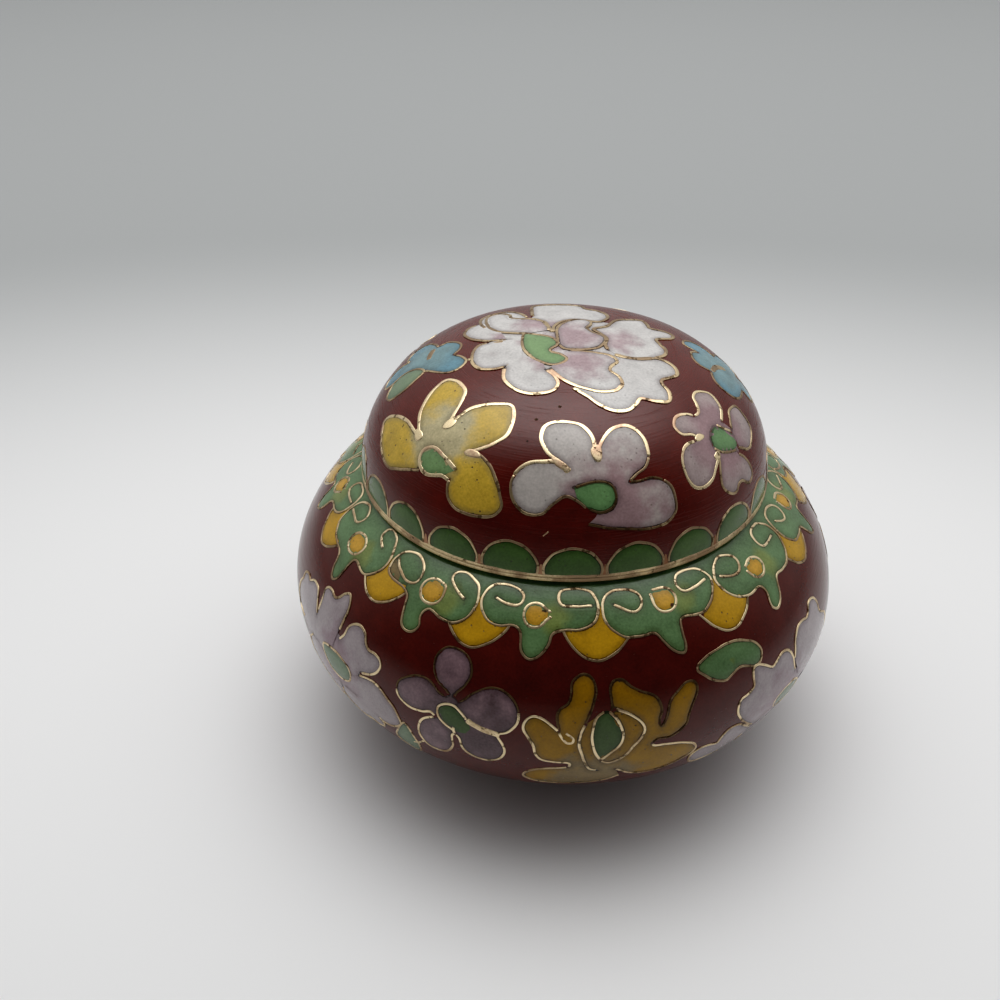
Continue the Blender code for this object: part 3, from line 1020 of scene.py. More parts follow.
# %% The crown's peony
# A middle patch, ten petals in two rows, and a bent green seed in the middle.
flower = Motif(lid)
middle = curve([
    (-9, -0.5), (-6.8, -6.7), (-2.2, -7.7), (0.3, -9.5), (5, -8), (8, -4.2), (10.2, -3.1), (8.5, 4),
    (4.2, 5.2), (1, 6.5), (-3.8, 5.6), (-8, 3), (-10.5, 0.4),
])
near_right = [
    (0.8, -10.8), (2.5, -12.2), (4, -13.4), (5.6, -13.9), (7, -13.5), (7.9, -12.4), (8.4, -11.4),
    (9.8, -11.4), (11.3, -11.1), (11.8, -10.4), (11.6, -9.2), (10.9, -8.2), (10.9, -7.4), (11.9, -6.6),
    (12.8, -5.6), (12.6, -4.3), (11.6, -3.3), (10.3, -3.1), (8.5, -3.8), (6.9, -4),
]
far_right = [
    (10.2, -3.1), (11.5, -1.8), (11.7, -0.4), (11.1, 0.8), (10.7, 1.9), (11.6, 2.6), (12.7, 3.4), (13, 4.6),
    (12.2, 5.3), (10.2, 5.3), (9.9, 6.5), (9.3, 8), (7.5, 7.4), (6, 6.4), (5.3, 5), (4.6, 3.6), (3.2, 2.5),
    (4, 1.2), (4.7, 0), (4.5, -1.5), (4.8, -2.8),
]
back = [
    (-4.3, 6.8), (-4.5, 9), (-4.6, 11.5), (-3.8, 12.5), (0, 12.8), (1.8, 12), (2.2, 10.6), (3.8, 9.9),
    (4.9, 8.4), (4.8, 6.5), (3.6, 5), (1, 5.3), (-0.6, 4.6), (-1.5, 3), (-1.7, 1.2), (-2.3, 2.8),
    (-3.2, 4.8), (-4.4, 5.8),
]
back_left = [(-5, 6.5), (-6, 8.5), (-7.5, 9.9), (-9.5, 10), (-10.8, 8.5), (-10.8, 6), (-10, 3.8)]
inner_left = [
    (-2.2, 1.5), (-2.3, 3), (-3, 4.6), (-4.5, 5.7), (-6, 6), (-7, 6.8), (-7.3, 8.2), (-8.3, 9.3),
    (-9.6, 9.2), (-10.2, 7.8), (-10, 5.5), (-9.3, 3.5), (-8, 2), (-6.2, 1.2), (-4.5, 0.8),
]
left = [(-11.2, 5.8), (-12.2, 5), (-12.6, 3.2), (-11.8, 1.5), (-10.5, 0.4), (-9, -0.2), (-7, -0.5)]
near_left = [(-9.3, -0.6), (-10.5, -1.2), (-11, -3), (-10.8, -5), (-9.8, -6.5), (-8.2, -7), (-6.8, -6.7)]
front = [
    (-6.9, -7), (-6.9, -9), (-6, -10.6), (-4.6, -11.7), (-3, -12), (-1.4, -11.5), (-0.8, -10.4), (-1.2, -9),
    (-2.2, -7.7),
]
front_right = [
    (-1.8, -7.5), (-0.9, -8.8), (0.3, -10), (2, -10.8), (4, -11.2), (5.6, -10.7), (6.3, -9.6), (6, -8.3),
    (5, -7.3), (5.2, -6.3), (5.8, -5.3), (5.2, -4.3), (4, -3.9), (0.3, -3.7),
]
inner_right = [
    (-0.9, -2.2), (-1.2, 1), (-1, 2.8), (-0.2, 4.2), (1.2, 5.2), (2.6, 5), (2.8, 3.8), (2.3, 2.5),
    (3.2, 1.2), (4.4, 0.2), (4.3, -1.4), (3.4, -2.7), (1.8, -3.3), (0, -3.3), (-0.9, -2.2),
]
petals = [
    (near_right, [(5.2, -5.5), (4.5, -8), (3, -10)], (5, -4.5), 2),
    (far_right, [(6, -4), (8, -4.2)], (5.6, -0.4), 5),
    (back, [], (-2, 3), 3),
    (back_left, [(-7, 4)], (-6, 4), 2),
    (inner_left, [], (-3.5, 3), 5),
    (left, [(-8, 2), (-9.3, 3.5), (-10, 5.5)], (-8, 0.5), 2),
    (near_left, [(-5, -5), (-5.2, -1.2), (-7, -0.5)], (-4, -1), 3.6),
    (front, [(-3, -5), (-5.5, -5)], (-2.6, -5.5), 3.6),
    (front_right, [(-1.7, -4), (-1.2, -6.5)], (1.4, -5.6), 6),
    (inner_right, [], (0.5, 0), 8),
]
layered(flower, petals, BLUSH, (-0.5, -1.5), 6, base=middle, width=0.42)
seed = ring([
    (-5, 0.6), (-3.4, 0.2), (-2, -0.4), (-1.2, -1.4), (-1.1, -2.4), (-1.8, -3.3), (-1.7, -4), (-0.6, -4.6),
    (0.1, -5.5), (-0.3, -6.3), (-1.4, -6.8), (-2.8, -6.2), (-4, -5), (-4.9, -3.2), (-5.2, -1.2),
])
flower.fill(seed, SPRING, level=0.13)
flower.wire(seed, width=0.36, level=0.1, closed=True)
flower.wire(curve([(10.2, -3.1), (8.5, -3.8), (7, -4), (5.4, -3.7)]), width=0.6, level=0.05)
flower.blob((-8, -0.8), (1.6, 0.7), 0, 0.1)
flower.blob((-6.2, -6.5), (1.2, 0.8), 20, 0.1)
for edge, bright in ((near_right, 9), (front, 9), (front_right, 7)):
    flower.wire(curve(edge[:bright]), width=0.43, level=PETAL_RISE * 5 + 0.01, metal=WIRE)
# A stray bit of wire in the red ground, near the lid's edge.
flower.wire([(-2.2, -28.8), (-1.3, -28.1)], width=0.14, metal=WIRE)
pits(flower, [(-1.4, -8.2), (-3.6, -10.9), (9.7, -6.1), (11.2, -9.8), (10.9, -7.9)], 0.3)
flower.make("lid_peony", DULL_WIRE)

# %% Left blue flower
# Four sky-blue petals over one pale green leaf.
flower = Motif(lid, foot=(-17, -1))
near = curve([
    (0.1, -2.8), (1.5, -3.9), (3, -4.9), (4.3, -4.8), (5.1, -4), (5.3, -3), (4.7, -2), (3.6, -1.1),
])
right = curve([(3.6, -1.1), (4.3, 0.1), (4.3, 1.3), (3.6, 2.3), (2.4, 2.9), (1.2, 2.5)])
far = curve([(1.2, 2.5), (0.6, 3.9), (-0.6, 5.3), (-2.2, 5.6), (-3.3, 4.6), (-3.4, 3.2), (-2.9, 2.2)])
outer = curve([(-2.9, 2.2), (-4.4, 2.8), (-6, 2.6), (-7, 1.4), (-6.8, 0), (-5.6, -0.9), (-4.2, -0.9)])
leaf = ring([
    (0, -2.9), (-1.3, -4.2), (-3, -4.9), (-5, -4.6), (-5.9, -3.2), (-5.3, -1.6), (-4.2, -0.9), (-2.5, -0.9),
    (-1, -1.6),
])
petals = chain(near, right, far, outer, [(-2.5, -0.9), (-1, -1.6)])
walls = [near, right, far, outer, leaf]
flower.fill(petals, SKY, walls=walls, heart=(0, 0), reach=(1.5, 5.5))
flower.fill(leaf, JADE, level=SEED_RISE)
flower.wires(*walls[:-1], width=0.3)
flower.wire(leaf, width=0.3, closed=True)
flower.wire(curve([(0.8, 2.3), (0.4, 1), (0.3, -0.5)]), width=0.7)
flower.wire(curve([(5.3, -3), (5.7, -3), (6.1, -3.2)]), width=0.5)
flower.make("lid_blue_flower_left", DULL_WIRE)

# %% Right blue flower
# Five sky-blue petals round a worn copper stroke.
flower = Motif(lid, foot=(19, 0))
near_top = curve([(-2.9, 2.1), (-4, 2.4), (-4.8, 3.1), (-4.5, 4.4), (-3.3, 5.2), (-1.7, 5), (-0.4, 3.9)])
near = curve([(-2.9, 2.1), (-3.8, 1.4), (-4, 0.9), (-3.8, -0.6), (-3, -1.6), (-1.6, -1.9)])
low = curve([
    (-1.6, -1.9), (-1.4, -3.4), (-0.6, -4.4), (0.6, -4.8), (1.9, -4.4), (2.8, -3.3), (3.3, -1.8),
    (3.6, -0.5),
])
outer = curve([(3.6, -0.5), (5.2, -0.6), (6.2, 0.6), (6, 2.2), (4.6, 3.1), (3.2, 2.8)])
far = curve([(3.2, 2.8), (3.4, 4.4), (2.4, 5.8), (0.8, 5.9), (-0.3, 4.9), (-0.4, 3.9)])
walls = [near_top, near, low, outer, far]
petals = chain(near, low, outer, far, near_top[::-1])
flower.fill(petals, SKY, walls=walls, heart=(-0.2, 0.5), reach=(2, 5.5))
flower.wires(*walls, width=0.3)
flower.wire(curve([(-1.5, -1.8), (-0.6, 0.2), (1, 1.5)]), width=0.8)
flower.make("lid_blue_flower_right", DULL_WIRE)

# %% One more small rose, behind
small_rose("lid_small_rose_back", 189, 0.68)

# %% [markdown]
# ## The collar of leaves on the bowl
#
# Under the mouth runs a garland: a green band whose lower edge swells into a pointed drop, then lifts
# to a cusp. One wire draws each of the fourteen lengths. It starts as a scroll, drops to the cusp,
# runs under the leaf and ends in the next scroll. An amber bud sits in every leaf and an amber
# half-moon hangs under every cusp. No two lengths beside each other are bent alike, because the wires
# are shaped and placed by eye: five of them are drawn here, and the rest of the round repeats those.

# %% Where the lengths meet, and how the moons lie
LEAVES = 14
LEAF_STEP = math.tau * BOWL_RADIUS / LEAVES
FIRST_LEAF = -1.393 * BOWL_RADIUS
CUSP_DRIFT = [-0.7, -1.15, -1.2, -0.45, 1.3, 2.2, 2.4, 1.6, 0.8, 0.6, 0.4, -0.2, 0.3, 0.2]
MOON_DRIFT = [1.2, 1.2, 0.6, -0.4, 0.1, 1.9, 0.3, -0.2, 0.4, 0, -0.3, 0.2, 0.5, 0]
MOON_RISE = [0, 0.5, 0.2, 0.05, -0.1, -0.1, 0.1, 0.2, -0.1, 0, 0.15, -0.05, 0.1, 0]
MOON = [
    (-4.7, 9), (-4.4, 8.1), (-3.7, 7.2), (-2.8, 6.3), (-1.6, 5.6), (-0.4, 5.35), (0.8, 5.6), (2.1, 6.3),
    (3.1, 7.1), (3.9, 8.1), (4.2, 9),
]


def cusp_at(number):
    """Where a length of garland meets the next one, along the bowl."""
    return FIRST_LEAF + (number + 0.5) * LEAF_STEP + CUSP_DRIFT[number % LEAVES]


print(f"{LEAVES} leaves, one every {LEAF_STEP:.1f} mm along the bowl")

# %% Five lengths of wire
LOW_LENGTH = [
    (-8.3, 11.2), (-6.2, 10.95), (-5, 10.85), (-4.2, 11.2), (-3.9, 12), (-4.6, 12.8), (-6, 13.2),
    (-7.6, 12.8), (-8.4, 11.9), (-8.5, 10.5), (-8.1, 9), (-6.6, 7.9), (-4.9, 7.5), (-3.4, 7.25), (-2.5, 6.6),
    (-2, 5.2), (-1.1, 4.3), (-0.1, 4.9), (0.3, 6.3), (0.6, 7.7), (1.2, 8.05), (2.1, 7.9), (3.2, 7.6),
    (4.1, 7.6), (5.1, 8.2), (5.8, 8.8), (6.3, 9.7), (6.35, 10.5), (6, 11.4), (5.4, 12.3), (4.5, 13.1),
    (3, 13.5), (1.9, 13.3), (1.65, 12.7), (1.9, 12.1), (2.85, 11.5), (3.8, 11.2),
]
ROUND_LENGTH = [
    (-8.2, 11.6), (-7.25, 10.75), (-6.2, 10.2), (-4.9, 9.75), (-3.8, 9.8), (-3.1, 10.3), (-3, 11.2),
    (-3.5, 12.05), (-4.5, 12.7), (-5.8, 12.95), (-7.2, 12.7), (-8.2, 12.1), (-8.65, 11.2), (-8.6, 10.4),
    (-8.3, 9.7), (-7.4, 9.25), (-5.9, 9.05), (-4.8, 8.95), (-4, 8.7), (-3.4, 8.2), (-3.1, 7.2), (-2.7, 5.7),
    (-2.05, 5), (-1.2, 4.9), (-0.5, 5.3), (-0.1, 6), (-0.4, 6.8), (-0.3, 7.5), (0.3, 8), (1.2, 7.9),
    (2.1, 7.6), (3.2, 7.5), (4.3, 7.6), (5.2, 8.1), (5.9, 8.8), (6.3, 9.8), (6.4, 10.7), (6.1, 11.7),
    (5.5, 12.4), (3.6, 13.15), (2.5, 13.15), (1.75, 12.8), (1.55, 12.2), (1.95, 11.7), (3.6, 10.7),
    (4.6, 10.3),
]
WIDE_LENGTH = [
    (-7.15, 11.4), (-6.2, 11.1), (-5.1, 10.85), (-4, 10.85), (-3.3, 11.2), (-3.15, 11.9), (-3.6, 12.4),
    (-4.5, 12.8), (-6.2, 13), (-7.5, 12.8), (-8.4, 12.2), (-8.8, 11.4), (-8.85, 10.5), (-8.4, 9.6),
    (-7.6, 8.9), (-6.6, 8.5), (-5.5, 8.45), (-4.5, 8.65), (-3.6, 8.6), (-3, 8.2), (-2.8, 7.6), (-2.7, 6.8),
    (-2.4, 6), (-1.6, 5.4), (-0.7, 5.6), (0.1, 6.2), (0.7, 7.1), (1, 8), (1.6, 8.45), (2.8, 8.65),
    (4.3, 8.65), (5.6, 8.95), (6.6, 9.6), (7.1, 10.6), (7.15, 11.5), (6.8, 12.2), (6.2, 12.8), (4.7, 13.15),
    (2.8, 13.1), (1.9, 12.7), (1.75, 11.95), (2.1, 11.4), (2.9, 11.2), (4.7, 11.15), (6.5, 11.2),
]
LEANING_LENGTH = [
    (-6.5, 11.2), (-5.6, 10.75), (-4.7, 10.3), (-3.7, 10.1), (-2.9, 10.4), (-2.4, 11.2), (-2.6, 11.9),
    (-3.3, 12.4), (-4.5, 12.7), (-6.2, 12.65), (-7.3, 12.2), (-7.9, 11.4), (-8.05, 10.5), (-7.9, 9.6),
    (-7.3, 8.7), (-6.4, 8), (-5.5, 7.6), (-4.3, 7.5), (-3, 7.5), (-2.1, 7.55), (-1.5, 7.3), (-1, 6.6),
    (-0.3, 5.75), (0.65, 5), (1.45, 4.85), (1.8, 5.7), (1.8, 7), (1.9, 7.9), (2.3, 8.35), (3.2, 8.45),
    (4.3, 8.25), (5.6, 8.25), (6.7, 8.7), (7.6, 9.35), (8.5, 10.3), (8.95, 11.2), (8.8, 11.8), (8.2, 12.5),
    (7.1, 13.05), (5.6, 13.2), (4.3, 13.05), (3.6, 12.5), (3.4, 11.85), (3.8, 11.2), (4.7, 10.95),
    (6, 11.05), (7.3, 11.3), (8.3, 11.5),
]
NARROW_LENGTH = [
    (-5.5, 11.05), (-4.7, 10.75), (-3.6, 10.45), (-2.5, 10.3), (-1.6, 10.5), (-0.9, 11.2), (-0.9, 11.9),
    (-1.6, 12.5), (-2.9, 12.9), (-4, 12.8), (-5.1, 12.3), (-5.9, 11.6), (-6.35, 10.9), (-6.2, 10.1),
    (-5.7, 9.2), (-4.8, 8.4), (-3.7, 7.9), (-2.5, 7.6), (-1.4, 7.65), (-0.3, 7.75), (0.3, 7.4), (0.5, 6.6),
    (0.2, 5.6), (0.3, 4.85), (1, 4.4), (1.9, 4.75), (2.6, 5.5), (3.1, 6.5), (3.7, 7.2), (4.4, 7.4),
    (5.5, 7.25), (6.9, 7.3), (7.8, 7.6), (8.7, 8.3), (9.6, 9.5), (9.95, 10.6), (9.6, 12), (8.4, 12.9),
    (7.6, 13), (6.5, 13), (5.4, 12.6), (4.9, 11.8), (5.1, 11), (5.8, 10.6), (7.3, 10.65), (8.8, 10.75),
]
# Each length's wire, then the middle, half sizes, corner angle and corner's reach of its bud.
LENGTHS = [
    (LOW_LENGTH, (-1.05, 9.45), (1.85, 1.35), 0.3, 0.05),
    (ROUND_LENGTH, (-0.35, 9.95), (1.75, 1.45), 0.7, 0.16),
    (WIDE_LENGTH, (-1.3, 10.05), (1.55, 1.3), 0.1, 0.45),
    (LEANING_LENGTH, (0.8, 10.75), (1.6, 1.35), 2.4, 0.3),
    (NARROW_LENGTH, (1.3, 9.65), (1.5, 1.2), 2.8, 0.3),
]
DRAWING_OF = [2, 0, 1, 2, 3, 4, 3, 1, 2, 0, 3, 4, 1, 4]
PIT_IN_BUD = {2: ((1.1, 0.3), 0.75), 3: ((0.7, -0.7), 0.65)}
# A little amber glass has run over the third leaf's edge.
SPILL = [
    (-8.45, 11.3), (-8.5, 10.4), (-8.2, 9.8), (-7.4, 9.4), (-5.9, 9.15), (-6.3, 10.2), (-7.3, 10.7),
    (-8.1, 11.4),
]
print(f"{len(LENGTHS)} drawn lengths serve {len(DRAWING_OF)} leaves")

# %% One length of garland and one bud
CUSP_HEIGHT, CUSP_GAP = 11.2, 0.25
SEAM_HEIGHT, SEAM_POINTS = 13.97, 24
BUD_POINTS, BUD_GAP, CORNER_WIDTH = 41, 0.03, 0.17


def length_of(number):
    """One length of garland, stretched from cusp to cusp: its wire, its bud's middle and its leaf."""
    points, middle = LENGTHS[DRAWING_OF[number % LEAVES]][:2]
    line = np.vstack([curve(points), middle])
    start, end = cusp_at(number - 1), cusp_at(number)
    along = line[:, 0]
    line[:, 0] = np.interp(along, [along.min(), along.max()], [start + CUSP_GAP, end - CUSP_GAP])
    wire, middle = line[:-1], line[-1]
    first, last = wire[:, 0].argmin(), wire[:, 0].argmax()
    seam = np.linspace((end, SEAM_HEIGHT), (start, SEAM_HEIGHT), SEAM_POINTS)
    leaf = chain(wire[first : last + 1], [(end, CUSP_HEIGHT)], seam, [(start, CUSP_HEIGHT)])
    return wire, first, last, middle, leaf


def bud_rim(corner, reach, wobble):
    """A round of unit radius, pulled out into a corner at an angle, that starts and ends there."""
    turn = np.linspace(BUD_GAP, math.tau - BUD_GAP, BUD_POINTS)
    out = 1 + reach * np.exp(-((np.sin(turn / 2) / CORNER_WIDTH) ** 2)) + 0.03 * np.cos(turn * 2 + wobble)
    return np.stack([np.cos(turn + corner), np.sin(turn + corner)], 1) * out[:, None]


# %% Garland
MOON_APEX = 11.4
LEAF_RISE, SCROLL_RISE, BUD_RISE, SPILL_RISE, BUD_PIT_RISE = 0.035, 0.039, 0.055, 0.045, 0.1
# How many points of its wire a scroll reaches into the leaf, and how many the leaf's edge leaves out.
SCROLL_IN, SCROLL_OUT, EDGE_IN, EDGE_OUT = 14, 10, 8, 4
garland = Motif(bowl)
for number in range(LEAVES):
    wire, first, last, middle, leaf = length_of(number)
    drawing = DRAWING_OF[number]
    half, corner, reach = LENGTHS[drawing][2:]
    bud = middle + bud_rim(corner, reach, number) * half * rng.uniform(0.96, 1.04)
    moon = curve(MOON) + (cusp_at(number) + MOON_DRIFT[number], MOON_RISE[number])
    garland.fill(chain(moon, [(cusp_at(number), MOON_APEX)]), AMBER, walls=[moon, wire])
    shade = middle + (2.6, -0.3)
    garland.fill(leaf, OLIVE, LEAF_RISE, walls=[wire], heart=shade, reach=(0.6, 2.8))
    garland.fill(bud, ORANGE, BUD_RISE)
    if drawing in PIT_IN_BUD:
        spot, size = PIT_IN_BUD[drawing]
        pits(garland, [middle + spot], size, BUD_PIT_RISE)
    edge_metal = THIN_WIRE if LENGTHS[drawing][0] is NARROW_LENGTH else DULL_WIRE
    garland.wires(wire[: first + SCROLL_IN], wire[last - SCROLL_OUT :], width=0.29, level=SCROLL_RISE)
    garland.wire(wire[first + EDGE_IN : last - EDGE_OUT], width=0.25, level=LEAF_RISE, metal=edge_metal)
    clear = np.flatnonzero(~enclosed(moon, leaf) & ~enclosed(moon, length_of(number + 1)[-1]))
    moon = moon[clear[0] - 2 : clear[-1] + 3]
    garland.wire(moon, width=0.25, metal=THIN_WIRE if number % 3 == 1 else DULL_WIRE)
    garland.wire(bud, width=0.3, level=0.05, closed=reach < 0.2)
spill = np.array(SPILL) + (FIRST_LEAF + 2 * LEAF_STEP, 0)
garland.fill(spill, LOTUS, SPILL_RISE, walls=[length_of(2)[0]])
garland.make("bowl_garland", THIN_WIRE)

# %% [markdown]
# ## The flowers of the bowl
#
# Round the belly run a lilac flower, an amber lotus and two pale peonies with their leaves, and they
# come back on the far side as the flowers of such jars do. They are drawn as the lid's are, on the
# sheet wrapped round the bowl, where the widest circle lies at y = -5.1. Where a petal runs on under
# the belly, it is closed the same way as its neighbours.

# %% Lilac flower
def lilac_flower(name, turn):
    """Five round lilac petals round a hooked green drop, with a worn gold seam beside it."""
    flower = Motif(bowl, turn, foot=(-11, -3))
    top = curve([
        (-0.7, 2.9), (-1.3, 3.4), (-2.3, 4), (-3, 5.2), (-3.1, 6.6), (-2.3, 7.8), (-1.2, 8.1), (0.1, 7.9),
        (1.2, 7), (1.5, 5.7), (1, 4.4), (0.2, 3.5), (-0.1, 2.8),
    ])
    left = curve([
        (-1.2, 2.6), (-1.9, 2.8), (-3, 3.6), (-4.3, 3.9), (-5.8, 3.4), (-7.1, 2.4), (-7.4, 1.2), (-6.9, 0.1),
        (-5.5, -0.5), (-4, -0.4), (-2.9, 0), (-2.2, -0.4),
    ])
    right = curve([
        (0.4, 2.4), (1, 2.8), (2.1, 3.9), (3.8, 4.8), (5.2, 4.8), (6.5, 4), (7.2, 2.6), (7.1, 1.2), (6.2, 0),
        (4.9, -0.6),
    ])
    low_left = curve([
        (-2.3, -0.5), (-3.6, -1.2), (-4.3, -2.4), (-4.5, -3.9), (-4.1, -5.3), (-3.3, -6.1), (-2, -6.2),
        (-0.9, -5.5), (-0.2, -4), (-0.2, -2.4), (0.2, -2),
    ])
    low_right = curve([
        (4.9, -0.7), (5.6, -2), (5.8, -3.2), (5.2, -4.4), (4.1, -5.2), (2.7, -5.3), (1.6, -4.8), (0.9, -3.9),
        (0.7, -2.6), (0.2, -2),
    ])
    drop = curve([
        (0.1, -1.6), (-1, -1), (-1.8, -0.3), (-2, 0.5), (-1.8, 1.2), (-1, 1.7), (0, 1.7), (0.9, 1.1),
        (1.6, 0.3),
    ])
    walls = [top, left, right, low_left, low_right, drop]
    petals = chain(left[::-1], top, right, low_right, low_left[::-1])
    flower.fill(petals, LILAC, walls=walls, heart=(3, -2), reach=(0, 11))
    flower.fill(chain(drop, [(2, -0.6), (1.4, -1.5)]), MOSS, level=SEED_RISE, walls=[drop])
    flower.wires(top, left[:50], right[:50], width=0.2, metal=DARK_WIRE)
    flower.wires(left[48:], right[48:], low_left, low_right, drop, width=0.27)
    flower.wire(curve([(5.4, -0.7), (3.6, -0.4), (2.3, 0), (1.4, 0.5)]), width=0.75, level=0.01)
    flower.wire(curve([(0.1, -0.9), (0, -1.5), (0.2, -2.1)]), width=0.3)
    pits(flower, [(-3.9, 2.1), (4, -3.1)], 0.26)
    flower.make(name, THIN_WIRE)


lilac_flower("bowl_lilac_flower", 0)
lilac_flower("bowl_lilac_flower_right", 115)
lilac_flower("bowl_lilac_flower_left", 258)

# %% Lotus
def lotus(name, turn):
    """An amber lotus: a spread of pointed petals, two loops and a split green seed in the middle."""
    flower = Motif(bowl, turn, foot=(6, -4))
    far_left = curve([
        (-5.4, 1.6), (-6.3, 2.4), (-7.2, 3.1), (-8.2, 3.3), (-9, 2.7), (-9.2, 1.7), (-8.7, 0.6),
        (-8.1, -0.5), (-7.9, -1.7), (-7.2, -2.6), (-6, -2.9), (-4.5, -3), (-4.1, -3.4), (-4.3, -3.9),
    ])
    low_left = curve([
        (-4.3, -3.9), (-6, -4.2), (-7.7, -4.6), (-9, -5.7), (-9.2, -7), (-8.2, -8.3), (-6.2, -8.9),
        (-3.8, -8.9), (-1.6, -8.5), (0, -7.9), (1, -7.1), (1.7, -6.4),
    ])
    upper_left = curve([
        (-5.4, 1.7), (-5.7, 3.3), (-5.4, 4.3), (-4.5, 5), (-4.2, 6), (-4.1, 7.2), (-3.3, 8), (-2.5, 8.1),
        (-1.7, 7.5), (-1.4, 6.4), (-1.6, 5.2), (-2, 4), (-2.6, 2.5),
    ])
    inner_left = curve([
        (-2.6, 2.5), (-3.1, 1.2), (-3.2, -0.3), (-2.8, -1.8), (-2.4, -3.2), (-1.9, -4.3), (-1, -4.7),
    ])
    upper_right = curve([
        (0.3, 3.8), (0.2, 5), (0.1, 6.3), (0.5, 7.2), (1.5, 7.3), (2.5, 6.5), (3.6, 5.8), (4.9, 5.2),
        (5.6, 4.4), (5.9, 3.2), (5.6, 2.1), (5.8, 1.2), (6.3, 2), (6.6, 3.1), (7, 4.2), (7.9, 5), (9, 5.7),
        (10, 5.5), (10.3, 4.5), (9.7, 3.2), (9.1, 1.8), (8.8, 0.7), (7.9, -0.1), (6.8, -0.6), (5.5, -0.5),
        (4.8, -1),
    ])
    low_right = curve([
        (4.8, -1), (5.2, -1.4), (6.5, -1.6), (8.2, -2), (9.8, -2.7), (10.5, -3.7), (10.3, -4.6), (9.2, -5.4),
        (8, -6.1), (6.5, -6.8), (4.5, -6.8), (2.8, -6.2), (1.7, -5.3), (1, -4.7),
    ])
    seed_left = curve([(-0.5, 4), (-1.4, 3.2), (-1.8, 1.5), (-1.8, 0), (-1.4, -1.5), (-0.8, -2.7)])
    seed_right = curve([(-0.1, 4), (1, 2.6), (1.5, 1), (1.3, -0.3), (0.4, -1.4), (-0.8, -2.7)])
    loop = curve([
        (0.6, 4.2), (2.3, 3.3), (3.4, 2.3), (3.9, 1.2), (3.5, 0.1), (2.7, -1), (2, -2.1), (1, -2.9),
        (0, -3.2), (-0.8, -2.8),
    ])
    tuck = curve([(-5.4, 1.6), (-5.1, 0.8), (-4.5, 0.1), (-3.9, 0.2), (-3.9, 0.8), (-4.8, 1.5)])
    outer = [far_left, low_left, upper_left, upper_right, low_right]
    top = [(-0.3, 4.1), (-1.4, 3.4)]
    head = chain(upper_left[::-1], far_left, low_left, low_right[::-1], upper_right[::-1], top)
    walls = [*outer, inner_left, seed_left, seed_right, loop]
    flower.fill(head, LOTUS, walls=walls, heart=(-1.5, -7), reach=(2, 8))
    flower.fill(chain(seed_left, seed_right[::-1]), MOSS, level=SEED_RISE, walls=[seed_left, seed_right])
    flower.wires(upper_left, upper_right, width=0.21, metal=DARK_WIRE)
    flower.wires(far_left, low_left, low_right, inner_left, seed_left, seed_right, loop, tuck, width=0.28)
    pits(flower, [(3.1, -5.4), (5, -5.6), (2.4, -4.6), (-2.1, -6.3)], 0.36)
    flower.make(name, THIN_WIRE)


lotus("bowl_lotus", 0)
lotus("bowl_lotus_back", 138)

# %% Leaf
def belly_leaf(name, turn):
    """A bean-shaped green leaf."""
    leaf = Motif(bowl, turn, foot=(21, 2))
    edge = ring([
        (-4.4, 0.6), (-3.8, 1.3), (-2, 1.9), (0.5, 2.15), (2.5, 1.7), (4.2, 0.8), (4.9, -0.4), (4.4, -1.6),
        (3.5, -1.8), (2.5, -1.4), (1.3, -1), (0, -1.4), (-1, -1.7), (-2.4, -1.2), (-3.7, -0.2),
    ])
    leaf.fill(edge, OLIVE, reach=(0, 0.5))
    leaf.wire(edge, width=0.25, closed=True)
    leaf.make(name, DULL_WIRE)


belly_leaf("bowl_leaf", 0)
belly_leaf("bowl_leaf_right", 88)
belly_leaf("bowl_leaf_back", 138)

